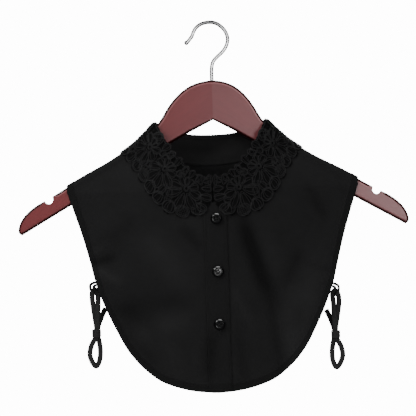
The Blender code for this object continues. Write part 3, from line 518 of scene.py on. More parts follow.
def make_wood(name, lean, depth, painted_shine):
    """Stained, lacquered wood whose grain runs down one arm."""
    material, tree, shader, place = start_material(name, 0.42, Coat_Roughness=0.3)
    run = use_group(tree, grain, Vector=stretch(tree, place["Object"], (1, 1, 1), (0, lean, 0)))
    near = blend_colours(tree, run["Figure"], WOOD_DARK, WOOD_LIGHT)
    # Painted light and shade: away from the joint the tones are scaled, darker on the left arm and lighter
    # on the right.
    deep = [tuple(value * part for value, part in zip(tone, depth)) for tone in (WOOD_DARK, WOOD_LIGHT)]
    far = blend_colours(tree, run["Figure"], *deep)
    split = tree.nodes.new("ShaderNodeSeparateXYZ")
    tree.links.new(place["Object"], split.inputs[0])
    from_joint = calc(tree, "MULTIPLY", calc(tree, "ABSOLUTE", split.outputs[0]), 12.0)
    body = blend_colours(tree, calc(tree, "MINIMUM", from_joint, 1.0), near, far)
    pored = blend_colours(tree, calc(tree, "MULTIPLY", run["Pores"], 0.25), body, WOOD_PORE)
    # Painted shade: the rounding is painted nearly black and its reflection cut; painted highlight: a
    # lighter line where the top rounding meets the face.
    edge = calc(tree, "MULTIPLY", stored(tree, "rounded"), 0.97)
    gleam = calc(tree, "MULTIPLY", stored(tree, "crest"), 0.55)
    bright = blend_colours(tree, gleam, pored, WOOD_GLEAM)
    feed(tree, shader, "Base Color", blend_colours(tree, edge, bright, WOOD_RIM_SHADE))
    # The reflection is scaled per arm, lower on the left: painted shade.
    for label, fall, start in (("Specular IOR Level", -0.46, 0.48), ("Coat Weight", -0.22, 0.22)):
        feed(tree, shader, label, calc(tree, "MULTIPLY_ADD", edge, fall * painted_shine, start * painted_shine))
    feed(tree, shader, "Roughness", calc(tree, "MULTIPLY_ADD", run["Figure"], 0.10, 0.36))
    raise_surface(tree, shader, run["Figure"], 0.00005, 0.5)
    return material


GRAIN_LEAN = math.radians(31)
# Lit and shaded copies of one wood: the left arm is painted darker and less glossy, the right lighter.
wood_left_painted_shade = make_wood("red stained wood left, painted shade", GRAIN_LEAN, (1.08, 0.66, 0.68), 0.74)
wood_right_painted_light = make_wood("red stained wood right, painted light", -GRAIN_LEAN, (1.10, 1.10, 1.10), 1.0)
print("wood ready")

# %% Pale floor
FLOOR_RADIUS, FLOOR_Z = 1.15, -0.62
floor_finish, tree, shader, place = start_material("pale floor", 0.9)
faint = noise(tree, place["Object"], 3.0, 2.0)
feed(tree, shader, "Base Color", blend_colours(tree, faint, (0.80, 0.80, 0.80), (0.84, 0.84, 0.84)))
floor_bm = bmesh.new()
bmesh.ops.create_circle(floor_bm, cap_ends=True, segments=96, radius=FLOOR_RADIUS)
bmesh.ops.translate(floor_bm, verts=floor_bm.verts, vec=(0, 0, FLOOR_Z))
floor_mesh = bpy.data.meshes.new("floor")
floor_bm.to_mesh(floor_mesh)
floor_bm.free()
floor_mesh.materials.append(floor_finish)
floor = bpy.data.objects.new("floor", floor_mesh)
bpy.context.collection.objects.link(floor)
print("floor radius in m:", FLOOR_RADIUS)

# %% [markdown]
# ## Wooden hanger
# Each arm is sawn from 12 mm board and its long edges are rounded over. Extruding the outline and
# bevelling its rim tears at the small notch that takes a strap, so the rim is a grid wrapped round
# the outline, drawn in along a quarter circle at both faces, and holes_fill closes the flat faces.
# The rounding and the line where it meets the face are marked on the points for the painted shade of the
# rim and the painted highlight line. The arch is filled out a little between the measured points, where the
# picture shows a fuller curve.

# %% Outline of one arm
ARM_TOP = [
    Point(0, -65.5), Point(19.3, -69.1), Point(30.6, -76.1), Point(46.9, -93.6),
    Point(58.9, -111.5), Point(74, -125.5), Point(90.8, -138.6), Point(116.2, -155),
    Point(147.5, -171.5), Point(181.2, -191),
]
ARM_SHOULDER = [Point(190.7, -196.1), Point(199.5, -200.8), Point(208.5, -207.3)]
ARM_TIP = [Point(216.2, -215.5), Point(220.6, -224.5), Point(221, -231), Point(217.6, -234.4)]
ARM_BOTTOM = [Point(160.3, -201.6), Point(47.7, -135.8), Point(24.7, -122.6), Point(0, -109.8)]
ARCH_FULLNESS = [
    Point(0, 0.7), Point(10, 0.8), Point(17, 0.35), Point(24, 0.1), Point(30, 0.8), Point(35, 1.6),
    Point(40, 1.8), Point(44, 1.6), Point(48, 1.0), Point(53, 0.5), Point(60, 0),
]
ARM_THICKNESS = 12.0
ARM_ROUNDING = 3.2
NOTCH_CENTRE = Point(186.0, -194.6)
NOTCH_RADIUS = 5.0
JOINT_X, JOINT_REACH = 3.0, 60.0


def arm_outline():
    notch_in = math.atan2(-191 - NOTCH_CENTRE.z, 181.2 - NOTCH_CENTRE.x)
    notch_out = math.atan2(-196.1 - NOTCH_CENTRE.z, 190.7 - NOTCH_CENTRE.x)
    turn = np.linspace(notch_in, notch_out + 2 * math.pi, 18)[1:-1]
    notch = np.column_stack([
        NOTCH_CENTRE.x + NOTCH_RADIUS * np.cos(turn), NOTCH_CENTRE.z + NOTCH_RADIUS * np.sin(turn)])
    top = smooth_curve(ARM_TOP, 7)
    fullness = smooth_curve(ARCH_FULLNESS, 4)
    top[:, 1] += np.interp(top[:, 0], fullness[:, 0], fullness[:, 1])
    return np.vstack([top, notch, smooth_curve(ARM_SHOULDER + ARM_TIP, 5), ARM_BOTTOM])


ARM_LOOP = arm_outline()
print("outline corners:", len(ARM_LOOP))

# %% Wrap the rim and fill the faces
def inset_loop(loop, distance):
    """The outline moved inwards, mitred at its corners."""
    ahead = unit(np.roll(loop, -1, axis=0) - loop)
    inward = np.column_stack([ahead[:, 1], -ahead[:, 0]])
    mitre = inward + np.roll(inward, 1, axis=0)
    mitre /= np.maximum((mitre * inward).sum(axis=1), 0.45)[:, None]
    from_notch = np.hypot(loop[:, 0] - NOTCH_CENTRE.x, loop[:, 1] - NOTCH_CENTRE.z) - NOTCH_RADIUS
    moved = loop + distance * mitre * np.clip(from_notch / 5, 0.12, 1)[:, None]
    moved[loop[:, 0] < 0.01, 0] = 0
    return moved


EDGE_TURNS = np.radians([90, 78, 66, 52, 35, 18, 0])
RIM_SHADE_FROM, RIM_SHADE_BLEND, FACE_INSET = 1.5, 0.3, 0.7


def make_arm(name, node, side, material):
    bm = bmesh.new()
    for label in ("rounded", "crest"):
        bm.verts.layers.float.new(label)
    rounded, crest = bm.verts.layers.float["rounded"], bm.verts.layers.float["crest"]
    on_top = len(smooth_curve(ARM_TOP, 7))
    levels = [(-ARM_THICKNESS / 2, EDGE_TURNS[0], FACE_INSET)]
    levels += [(-ARM_THICKNESS / 2 + ARM_ROUNDING * (1 - math.sin(t)), t, 0) for t in EDGE_TURNS]
    levels += [(-y, t, more) for y, t, more in reversed(levels)]
    rings = []
    for y, t, more in levels:
        loop = inset_loop(ARM_LOOP, ARM_ROUNDING * (1 - math.cos(t)) + more)
        shift = JOINT_X * np.clip(1 - loop[:, 0] / JOINT_REACH, 0, 1)
        rings.append(np.column_stack([loop[:, 0] * side + shift, np.full(len(loop), y), loop[:, 1]]))
    rings = np.array(rings)
    count = len(ARM_LOOP)

    def place(u, v):
        return rings[np.rint(v * (len(levels) - 1)).astype(int), np.rint(u * count).astype(int) % count]

    made = lay_grid(bm, count, len(levels) - 1, place, lambda u, v: (u, v))
    for number, vert in enumerate(made):
        y, t, more = levels[number // (count + 1)]
        # Painted shade over the rounding, and a painted highlight line along the top edge of the face.
        vert[rounded] = float(smooth_step((RIM_SHADE_FROM - t) / RIM_SHADE_BLEND))
        vert[crest] = float(t > 1.3 and more == 0 and number % (count + 1) < on_top)
    bmesh.ops.remove_doubles(bm, verts=bm.verts, dist=0.004)
    rim = [edge for edge in bm.edges if edge.is_boundary]
    bmesh.ops.holes_fill(bm, edges=rim, sides=0)
    bmesh.ops.triangulate(bm, faces=[face for face in bm.faces if len(face.verts) > 8])
    piece = finish_piece(bm, name, material, sharp=38)
    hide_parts(node)
    return piece


for name, side, material in (("left", -1, wood_left_painted_shade), ("right", 1, wood_right_painted_light)):
    arm = make_arm(f"wood_arm_{name}", f"hanger_arm_{name}", side, material)
    print(arm.name, len(arm.data.polygons), "faces")

# %% [markdown]
# ## Wire hook
# The hook is plated wire, 3.3 mm thick, bent over a rail and ending in a small bead. A circle
# swept along the bend is the natural way, so the swept grid is used, with the bead as a sphere. It
# is drawn 4.3 mm thick against the bright surround, and its bend is lowered by half of that growth
# and a little more, so that its top stays where it was measured.

# %% Bend the wire
HOOK_PATH = [
    Point(-24.4, -21.4), Point(-20.7, -17), Point(-18.1, -13.6), Point(-16.2, -9), Point(-13.3, -4.3),
    Point(-8.2, -0.4), Point(-2.8, 1.3), Point(2.7, 1.8), Point(8, 1), Point(13.2, -1.7),
    Point(19.2, -7.8), Point(22.4, -16.5), Point(21, -24.7), Point(16.6, -31.8), Point(9.8, -38.2),
    Point(5.4, -43.2), Point(3.6, -49), Point(3.05, -56), Point(3, -72), Point(3, -88),
]
WIRE_RADIUS, BEAD_RADIUS, BEAD_PLACE = 2.15, 2.5, (-24.5, 0, -21.6)
BEND_DROP, DROP_FROM, DROP_SPAN = 0.9, -60.0, 40.0
bm = bmesh.new()
bend = smooth_curve([
    (p.x, 0, p.z - BEND_DROP * smooth_step((p.z - DROP_FROM) / DROP_SPAN)) for p in HOOK_PATH], 7)
sweep(bm, bend, WIRE_RADIUS, sides=20, up=(0, -1, 0))
bead = bmesh.ops.create_uvsphere(bm, u_segments=20, v_segments=14, radius=BEAD_RADIUS)["verts"]
bmesh.ops.translate(bm, verts=bead, vec=BEAD_PLACE)
hook = finish_piece(bm, "wire_hook", bright_wire, sharp=50)
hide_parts("hanger_hook")
print("wire length in mm:", round(lengths_along(bend)[-1]))

# %% [markdown]
# ## The bib's shape
# The cloth lies over the arms and stands off them in the middle, as a loose shirt front does. The
# same curves that shaped the measured solids shape the sewn pieces here, at a finer step. Rings run
# round the neck: the roll line on top of the stand, the neck seam, and where the lace ends.

# %% Sizes of the cloth
Edge = namedtuple("Edge", "half_width z")
Fold = namedtuple("Fold", "top_x top_z end_x end_z width rise")
CLOTH, STAND_WALL, CLOTH_LIFT = 1.2, 1.4, 0.6
HEM_WIDTH, HEM_EXTRA = 9.0, 0.45
FRONT_EDGE = [
    Edge(164.5, -187), Edge(158.5, -206), Edge(152, -226), Edge(146, -246), Edge(139, -273),
    Edge(133.6, -295), Edge(127.5, -312), Edge(119, -332), Edge(105, -360), Edge(95.8, -374),
    Edge(83.4, -388), Edge(66, -402), Edge(47.3, -410), Edge(25, -415.4), Edge(0, -417.5),
]
BACK_INSET, BACK_RISE, SHOULDER_X = 5.0, 7.0, 164.5
ROLL_HALF_WIDTH, ROLL_SIDE_Z, ROLL_FRONT_Z, ROLL_BACK_Z = 62.0, -112.0, -176.5, -126.5
ROLL_FRONT_DEPTH, ROLL_BACK_DEPTH, ROLL_FRONT_CURVE, ROLL_BACK_CURVE = 38.0, 33.0, 2.1, 2.6
NECK_HALF_WIDTH, NECK_FRONT_Z, NECK_BACK_Z, NECK_CURVE = 84.0, -203.0, -161.0, 1.9
FALL_HALF_WIDTH, FALL_FRONT_Z, FALL_BACK_Z, FALL_SPREAD, FALL_CURVE = 118.0, -240.0, -206.0, 0.85, 2.2
SIDE_DEPTH = ARM_THICKNESS / 2 + CLOTH_LIFT
FRONT_NECK_FULLNESS, FRONT_HEM_FULLNESS = 30.4, 19.0
BACK_NECK_FULLNESS, BACK_HEM_FULLNESS, DEPTH_POWER = 21.0, 10.0, 1.4
SADDLE_DROP, SADDLE_POWER, SADDLE_START = 7.8, 3.2, 76.0
HEM_Z, FOLD_FADE = -417.5, 0.25
ARM_TOP_CURVE = smooth_curve(ARM_TOP, 8)
print("bib hangs down to", HEM_Z, "mm")

# %% Folds and creases
FRONT_FOLDS = [
    Fold(30, -222, 64, -316, 10, -1.6), Fold(52, -232, 96, -322, 15, 0.9),
    Fold(-141, -270, -112, -262, 5, -1.3), Fold(-139, -274, -108, -290, 6, 1.2),
    Fold(-112, -322, -28, -312, 13, -0.9), Fold(-92, -352, -30, -336, 14, 0.9),
    Fold(118, -268, 88, -372, 15, 1.4),
]
FRONT_CREASES = [
    Fold(36, -226, 53, -300, 8, -0.9), Fold(66, -236, 80, -290, 12, -0.4),
    Fold(96, -262, 78, -300, 8, -0.9), Fold(108, -190, 126, -226, 6, -0.9),
    Fold(61, -318, 72, -394, 6, -0.8), Fold(80, -322, 86, -388, 11, 1.0),
    Fold(-35, -232, -14, -256, 7, -1.0), Fold(-72, -242, -30, -302, 16, 1.0),
    Fold(-117, -316, -42, -362, 10, -0.6), Fold(-62, -330, -44, -398, 8, 0.5),
    Fold(-104, -344, -66, -388, 8, -0.5), Fold(24, -352, 30, -408, 6, -0.6),
    Fold(131, -284, 104, -276, 4, -0.6), Fold(-137, -258, -118, -244, 4, 0.5),
    Fold(18, -300, 40, -344, 6, 0.7), Fold(-90, -222, -128, -250, 8, -0.5),
    Fold(100, -318, 84, -350, 8, -0.7), Fold(-6, -352, -10, -400, 8, -1.1),
]
BACK_FOLDS = [
    Fold(-38, -235, -70, -350, 13, 1.8), Fold(30, -225, 46, -352, 14, 1.6),
    Fold(104, -262, 78, -362, 12, -1.5),
]
BACK_CREASES = [
    Fold(-96, -222, -118, -292, 8, -0.7), Fold(-14, -230, -8, -330, 8, -0.6),
    Fold(76, -214, 92, -300, 7, 0.6), Fold(-52, -352, -30, -400, 8, -0.6),
    Fold(18, -360, 22, -404, 7, 0.5), Fold(134, -232, 118, -276, 5, 0.5),
    Fold(-126, -252, -100, -330, 7, 0.6), Fold(60, -330, 40, -396, 8, -0.6),
]
FRONT_FORM, BACK_FORM = FRONT_FOLDS + FRONT_CREASES, BACK_FOLDS + BACK_CREASES
# Painted light over the stand's inner face and painted shade along three soft folds; they set its tone
# only.
STAND_PAINTED_LIGHT_AND_SHADE = [
    Fold(-52, -152, 52, -148, 34, 2.0), Fold(-34, -140, 6, -143, 5, -0.9),
    Fold(-4, -158, 36, -150, 6, -0.8), Fold(-26, -166, 22, -170, 5, -0.7),
]


def fold_height(x, z, folds):
    height = np.zeros(np.shape(x))
    for fold in folds:
        start = np.array([fold.top_x, fold.top_z], float)
        line = np.array([fold.end_x, fold.end_z], float) - start
        span = np.linalg.norm(line)
        line /= span
        along = (x - start[0]) * line[0] + (z - start[1]) * line[1]
        aside = (x - start[0]) * -line[1] + (z - start[1]) * line[0]
        fade_in = smooth_step((along / span + FOLD_FADE) / (2 * FOLD_FADE))
        fade_out = smooth_step((1 + FOLD_FADE - along / span) / (2 * FOLD_FADE))
        height = height + fold.rise * fade_in * fade_out * np.exp(-((aside / fold.width) ** 2))
    return height


print("folds and creases:", len(FRONT_FORM + BACK_FORM))

# %% Depth, saddle and rings
def cloth_ridge(x):
    return np.interp(np.abs(x), ARM_TOP_CURVE[:, 0], ARM_TOP_CURVE[:, 1]) + CLOTH_LIFT


def panel_y(x, z, is_back):
    neck = BACK_NECK_FULLNESS if is_back else FRONT_NECK_FULLNESS
    hem = BACK_HEM_FULLNESS if is_back else FRONT_HEM_FULLNESS
    fullness = neck + (hem - neck) * smooth_step((NECK_FRONT_Z - z) / (NECK_FRONT_Z - HEM_Z))
    heights = ARM_TOP_CURVE[::-1, 1] + CLOTH_LIFT - SADDLE_DROP
    reach = np.minimum(np.interp(z, heights, ARM_TOP_CURVE[::-1, 0]), SHOULDER_X + 1)
    share = np.clip(np.abs(x) / reach, 0, 1)
    depth = SIDE_DEPTH + fullness * np.cos(share * math.pi / 2) ** DEPTH_POWER
    return depth if is_back else -depth


def front_y(x, z):
    """Depth of the front's inner face with its folds."""
    return panel_y(x, z, False) - fold_height(x, z, FRONT_FORM)


def both_sides(row):
    """A row from the middle round to the back, continued by its mirror image."""
    return np.vstack([row[:-1], (row * [-1, 1, 1])[::-1]])


def saddle(x, turn, is_back):
    angle = np.radians(turn)
    y = SIDE_DEPTH * np.maximum(np.cos(angle), 0) ** (2 / SADDLE_POWER)
    y = np.maximum(y, 0.02)
    z = cloth_ridge(x) - SADDLE_DROP + SADDLE_DROP * np.sin(angle) ** (2 / SADDLE_POWER)
    return np.column_stack([x, y if is_back else -y, z])


def ring(angle, half_width, middle_front, middle_back, curve, spread=1.0):
    angle = np.asarray(angle, float)
    near = np.where(angle > 90, 180 - angle, angle)
    sine = np.sin(np.radians(np.clip(near / SADDLE_START, 0, 1) * 90))
    is_back = angle > 90
    side_z = cloth_ridge(half_width) - SADDLE_DROP
    middle = np.where(is_back, middle_back, middle_front)
    x = half_width * sine**spread
    z = middle + (side_z - middle) * sine**curve
    y = np.where(is_back, panel_y(x, z, True), panel_y(x, z, False))
    points = np.column_stack([x, y, z])
    over = near > SADDLE_START
    turn = np.clip((near - SADDLE_START) / (90 - SADDLE_START) * 90, 0, 90)
    wide = np.full(len(angle), half_width)
    points[over & ~is_back] = saddle(wide, turn, False)[over & ~is_back]
    points[over & is_back] = saddle(wide, turn, True)[over & is_back]
    return points


def neck_ring(angle):
    return ring(angle, NECK_HALF_WIDTH, NECK_FRONT_Z, NECK_BACK_Z, NECK_CURVE)


def fall_ring(angle):
    return ring(angle, FALL_HALF_WIDTH, FALL_FRONT_Z, FALL_BACK_Z, FALL_CURVE, FALL_SPREAD)


def roll_ring(angle):
    turn = np.radians(np.asarray(angle, float))
    sine = np.sin(turn)
    is_back = np.asarray(angle) > 90
    rise_front = (ROLL_SIDE_Z - ROLL_FRONT_Z) * sine**ROLL_FRONT_CURVE
    rise_back = (ROLL_SIDE_Z - ROLL_BACK_Z) * sine**ROLL_BACK_CURVE
    z = np.where(is_back, ROLL_BACK_Z + rise_back, ROLL_FRONT_Z + rise_front)
    depth = np.where(is_back, ROLL_BACK_DEPTH, ROLL_FRONT_DEPTH)
    return np.column_stack([ROLL_HALF_WIDTH * sine, -depth * np.cos(turn), z])


NECK_ANGLES = np.linspace(0, 180, 361)
NECK_LENGTHS = lengths_along(neck_ring(NECK_ANGLES))
LACE_LENGTH = float(NECK_LENGTHS[-1])
print("half neck seam in mm:", round(LACE_LENGTH, 1))

# %% [markdown]
# ## Fronts and back
# Each panel is one layer of shirting, turned under 9 mm round the armhole and hem and stitched. A real one
# could be simulated, but it hangs still over a fixed hanger, so its soft folds are placed as troughs and
# ridges. The hem is a raised step, and its stitching pulls small puckers.

# %% Panel grid
BAND_LEFT, BAND_RIGHT, UNDERLAP = -11.2, 15.0, 4.0
BAND_WALL, SEAM_GAP = 1.5, 0.3
COLUMNS, BODY_ROWS, SADDLE_COLUMNS, SADDLE_STEP = 120, 46, 9, 1.6
EDGE_STEPS = [10.6, 9.9, 9.35, 9.0, 8.55, 8.1, 7.65, 7.0, 5.4, 3.6, 1.8, 0.7, 0.2, 0.0]
STITCH_FROM_EDGE = 8.1


def edge_curve(is_back):
    curve = smooth_curve([(e.half_width, e.z) for e in reversed(FRONT_EDGE)], 10)
    if is_back:
        low = smooth_step((FRONT_EDGE[0].z - curve[:, 1]) / 60)
        rise = (FRONT_EDGE[0].z - curve[:, 1]) / (FRONT_EDGE[0].z - HEM_Z)
        curve[:, 0] *= 1 - BACK_INSET / SHOULDER_X * low
        curve[:, 1] += BACK_RISE * rise
    return curve


def panel_lines(is_back, start_x):
    """The neck seam and the outer edge of half a panel, as evenly spaced points."""
    turn = np.linspace(0, SADDLE_START, 90)
    neck = neck_ring(180 - turn if is_back else turn)[:, [0, 2]]
    outline = edge_curve(is_back)
    outline = np.vstack([outline[:-1], [SHOULDER_X, float(cloth_ridge(SHOULDER_X)) - SADDLE_DROP]])
    cut_z = outline[0, 1] if start_x < 0 else np.interp(start_x, outline[:12, 0], outline[:12, 1])
    neck = np.vstack([[start_x, neck[0, 1]], neck[neck[:, 0] > start_x + 0.5]])
    outline = np.vstack([[start_x, cut_z], outline[outline[:, 0] > start_x + 0.5]])
    return evenly(neck, COLUMNS), evenly(outline, COLUMNS)


def panel_row(inner, outer, from_edge, is_back, side):
    """One row of a panel: a line from the middle out to the shoulder and over the arm."""
    reach = np.linalg.norm(outer - inner, axis=1)
    flat = outer + (inner - outer) * (from_edge / reach)[:, None]
    pull = (np.arange(COLUMNS) / (COLUMNS - 1)) ** 5
    flat[:, 1] += pull * (cloth_ridge(flat[-1, 0]) - SADDLE_DROP - flat[-1, 1])
    x, z = flat[:, 0], flat[:, 1]
    folds = BACK_FORM if is_back else FRONT_FORM
    lift = fold_height(x * side, z, folds) * (1 - pull)
    y = panel_y(x, z, is_back) + (lift if is_back else -lift)
    top = saddle(np.full(SADDLE_COLUMNS, x[-1]), np.linspace(0, 90, SADDLE_COLUMNS + 1)[1:], is_back)
    row = np.vstack([np.column_stack([x, y, z]), top])
    row[:, 0] *= side
    return row


print("columns in half a panel:", COLUMNS + SADDLE_COLUMNS)

# %% Hem step and puckers
INSIDE = (0, 0, -230.0)


def outer_lift(from_edge, run):
    """How far the outer face stands off the inner one, at a distance from the edge."""
    step = smooth_step((HEM_WIDTH + 0.35 - from_edge) / 0.7)
    groove = np.exp(-((from_edge - STITCH_FROM_EDGE) / 0.45) ** 2)
    pucker = np.sin(run / 1.9 + 1.3 * np.sin(run / 13)) * (0.6 + 0.4 * np.sin(run / 31))
    near_stitch = np.exp(-((from_edge - STITCH_FROM_EDGE) / 3.6) ** 2)
    turned = smooth_step((1.1 - from_edge) / 1.1)
    return CLOTH + HEM_EXTRA * step - 0.22 * groove + 0.13 * pucker * near_stitch - 0.35 * turned


def outward(grid):
    """Normals of a grid, all turned away from a point inside the bib."""
    normals = unit(np.cross(np.gradient(grid, axis=0), np.gradient(grid, axis=1)))
    return -normals if ((grid - INSIDE) * normals).sum() < 0 else normals


def panel_surface(is_back, side, start_x):
    """The panel's outer face as a grid, with the distance of each point from the edge."""
    inner, outer = panel_lines(is_back, start_x)
    reach = np.linalg.norm(outer - inner, axis=1)
    shares = np.linspace(0, 1, BODY_ROWS, endpoint=False)
    distances = [reach - (reach - EDGE_STEPS[0]) * share for share in shares]
    distances += [np.full(COLUMNS, step) for step in EDGE_STEPS]
    grid = np.array([panel_row(inner, outer, d, is_back, side) for d in distances])
    run = lengths_along(outer)
    run = np.append(run, run[-1] + SADDLE_STEP * np.arange(1, SADDLE_COLUMNS + 1))
    from_edge = np.array([np.append(d, np.full(SADDLE_COLUMNS, d[-1])) for d in distances])
    height = np.array([outer_lift(d, run) for d in from_edge])
    return grid + outward(grid) * height[:, :, None], from_edge


print("stitch line lies", STITCH_FROM_EDGE, "mm from the edge")

# %% Sew the panels
SHELL, BAND_SHELL, STAND_SHELL = 0.7, 1.0, 1.3


def make_shell(name, surface, painted_layer_shade, node, thickness=SHELL, folds=()):
    """A sheet from its outer face; Solidify gives it a wall on the inner side."""
    rows, columns = surface.shape[:2]
    bm = bmesh.new()
    for label in ("painted_layer_shade", "painted_fold_shade"):
        bm.verts.layers.float.new(label)
    marks = [bm.verts.layers.float[label] for label in ("painted_layer_shade", "painted_fold_shade")]
    # Painted shade: the listed folds only set a darker tone in their troughs and a lighter one on their
    # ridges, stored on each point; here they don't move the points.
    fold_shade = np.clip(0.5 - fold_height(surface[:, :, 0], surface[:, :, 2], folds) / 4, 0, 1)
    values = np.column_stack([painted_layer_shade.ravel(), fold_shade.ravel()]).tolist()
    picked = surface.reshape(-1, 3)
    across = np.linalg.norm(np.diff(surface, axis=1), axis=2).sum(axis=1).max()
    down = np.linalg.norm(np.diff(surface, axis=0), axis=2).sum(axis=0).max()

    def cell(u, v):
        return np.rint(v * (rows - 1)).astype(int), np.rint(u * (columns - 1)).astype(int)

    def place(u, v):
        i, j = cell(u, v)
        return picked[i * columns + j]

    def pattern(u, v):
        i, j = cell(u, v)
        over = np.maximum(0, SIDE_DEPTH - np.abs(surface[i, j, 1]))
        return surface[i, j, 0], surface[i, j, 2] + over

    for vert, pair in zip(lay_grid(bm, columns - 1, rows - 1, place, pattern), values):
        vert[marks[0]], vert[marks[1]] = pair
    bm.normal_update()
    middle = Vector(INSIDE)
    if sum((face.calc_center_median() - middle).dot(face.normal) for face in bm.faces) < 0:
        bmesh.ops.reverse_faces(bm, faces=bm.faces)
    piece = finish_piece(bm, name, cloth, closed=False)
    wall = piece.modifiers.new("cloth wall", "SOLIDIFY")
    wall.thickness = thickness * MM
    wall.offset = -1
    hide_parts(node)
    area = sum(face.area for face in piece.data.polygons)
    print(name, "area m2:", round(area, 4), "spans mm:", round(across), round(down))
    return piece


# Where two layers lie, for their painted shade.
def hem_mask(from_edge):
    return smooth_step((HEM_WIDTH + 0.3 - from_edge) / 0.6)


left_surface, left_edge = panel_surface(False, -1, -BAND_LEFT - UNDERLAP + 0.1)
right_surface, right_edge = panel_surface(False, 1, BAND_LEFT + UNDERLAP)
back_left, back_edge_left = panel_surface(True, -1, 0.0)
back_right, back_edge_right = panel_surface(True, 1, 0.0)
back_surface = np.concatenate([back_left[:, :0:-1], back_right], axis=1)
back_edge = np.concatenate([back_edge_left[:, :0:-1], back_edge_right], axis=1)
front_left = make_shell(
    "sewn_front_left", left_surface, hem_mask(left_edge), "front_left", folds=FRONT_FORM)
front_right = make_shell(
    "sewn_front_right", right_surface, hem_mask(right_edge), "front_right", folds=FRONT_FORM)
back_panel = make_shell(
    "sewn_back", back_surface, hem_mask(back_edge), "back_panel", folds=BACK_FORM)
print("panels sewn")

# %% [markdown]
# ## Stitching
# A lockstitch is one thread that rises out of the cloth for each stitch and dives at each needle
# hole. So each seam is one thin cord whose height goes up and down along its path, which is closer
# to the real thing than separate dashes and needs only one grid for a whole seam.

# %% Running stitches
STITCH_PITCH, STITCH_THREAD = 3.0, 0.2
STITCH_PARTS, STITCH_RISE = [0.0, 0.2, 0.5, 0.8], [-0.35, 0.1, 0.2, 0.1]


def run_stitches(bm, path, normals):
    """A thread along a path that rises and dives; a path point every pitch makes one stitch."""
    along = lengths_along(path)
    count = max(int(along[-1] / STITCH_PITCH), 2)
    steps = (np.arange(count)[:, None] + np.array(STITCH_PARTS)).ravel() * along[-1] / count
    height = np.tile(STITCH_RISE, count)
    places = np.column_stack([np.interp(steps, along, path[:, k]) for k in range(3)])
    facing = unit(np.column_stack([np.interp(steps, along, normals[:, k]) for k in range(3)]))
    ways = np.pad(facing, ((2, 2), (0, 0)), mode="edge")
    add_sweep(bm, places + facing * height[:, None], STITCH_THREAD, sides=4, up=ways)
    return count


def edge_line(surface, from_edge, distance):
    """The line on a panel that lies a set distance from its edge, and its normals."""
    row = int(np.argmin(np.abs(from_edge[:, 0] - distance)))
    normals = outward(surface)
    return surface[row], normals[row]


stitch_bm = bmesh.new()
total = 0
for surface, from_edge in (
    (left_surface, left_edge), (right_surface, right_edge), (back_surface, back_edge),
):
    line, normals = edge_line(surface, from_edge, STITCH_FROM_EDGE)
    total += run_stitches(stitch_bm, line[::2], normals[::2])
finish_piece(stitch_bm, "hem_stitches", seam_thread)
print("hem stitches:", total)

# %% [markdown]
# ## Button band
# The band is a folded strip, 26 mm wide, sewn down the upper front and stitched along both edges.
# It is laid on the front's own curve and moved out by its thickness, so it follows the bib's form.
# Its edges are turned, so they are a little rounded, and the stitched lines sink into the cloth.
# A worked buttonhole is two closed rounds of thread, one inside the other, under each low button.

# %% Band surface and shell
BUTTON_X, BUTTON_HEIGHTS = 3.2, [-221.8, -281.0, -340.4]
BAND_STITCH, BAND_HEM_FROM = 2.6, 0.957
FROM_SIDE = np.array([0, 0.25, 0.8, 1.8, 2.2, 2.6, 3.0, 3.5])
band_neck = neck_ring(np.linspace(0, 40, 40))
band_hem = edge_curve(False)
across = np.concatenate([
    BAND_LEFT + FROM_SIDE, np.linspace(BAND_LEFT + 4.6, BAND_RIGHT - 4.6, 12),
    BAND_RIGHT - FROM_SIDE[::-1]])
down = np.linspace(0, 1, 96)
band_rows, band_mask = [], []
for share in down:
    top_z = np.interp(np.abs(across), band_neck[:, 0], band_neck[:, 2]) - 0.5
    hem_z = np.interp(np.abs(across), band_hem[:15, 0], band_hem[:15, 1])
    z = top_z + (hem_z - top_z) * share
    side_way = np.minimum(across - BAND_LEFT, BAND_RIGHT - across)
    groove = np.exp(-((side_way - BAND_STITCH) / 0.4) ** 2)
    wave = np.sin(z / 2.1 + 1.2 * np.sin(z / 15) + np.sign(across))
    pucker = wave * np.exp(-((side_way - BAND_STITCH) / 2.2) ** 2)
    pull = sum(np.exp(-(((across - BUTTON_X) / 7) ** 2 + ((z - h) / 9) ** 2)) for h in BUTTON_HEIGHTS)
    hem_step = HEM_EXTRA * smooth_step((share - BAND_HEM_FROM) / 0.004)
    lift = CLOTH + SEAM_GAP + BAND_WALL - 0.2 * groove + 0.1 * pucker - 0.22 * pull + hem_step
    lift = lift - 0.7 * smooth_step((0.9 - side_way) / 0.9)
    band_rows.append(np.column_stack([across, front_y(across, z) - lift, z]))
    band_mask.append(np.full(len(across), 1.0 if share > BAND_HEM_FROM else 0.35))
band_surface = np.array(band_rows)
band = make_shell(
    "sewn_button_band", band_surface, np.array(band_mask), "button_band", BAND_SHELL, FRONT_FORM)

# %% Band stitching and buttonholes
band_bm = bmesh.new()
normals = outward(band_surface)
count = 0
for column in (5, len(across) - 6):
    count += run_stitches(band_bm, band_surface[::2, column], normals[::2, column])
for height in BUTTON_HEIGHTS[1:]:
    turn = np.linspace(0, 2 * math.pi, 28, endpoint=False)
    for reach, long, thick in ((1.1, 7.4, 0.34), (0.5, 6.8, 0.3)):
        x = BUTTON_X - 0.4 + reach * squarish(np.cos(turn), 0.6)
        z = height - 5.0 + long * np.sin(turn)
        loop = np.column_stack([x, front_y(x, z) - CLOTH - SEAM_GAP - BAND_WALL, z])
        add_sweep(band_bm, loop, thick, sides=6, up=(0, -1, 0), closed=True)
finish_piece(band_bm, "band_stitches_and_buttonholes", seam_thread)
print("band stitches:", count)

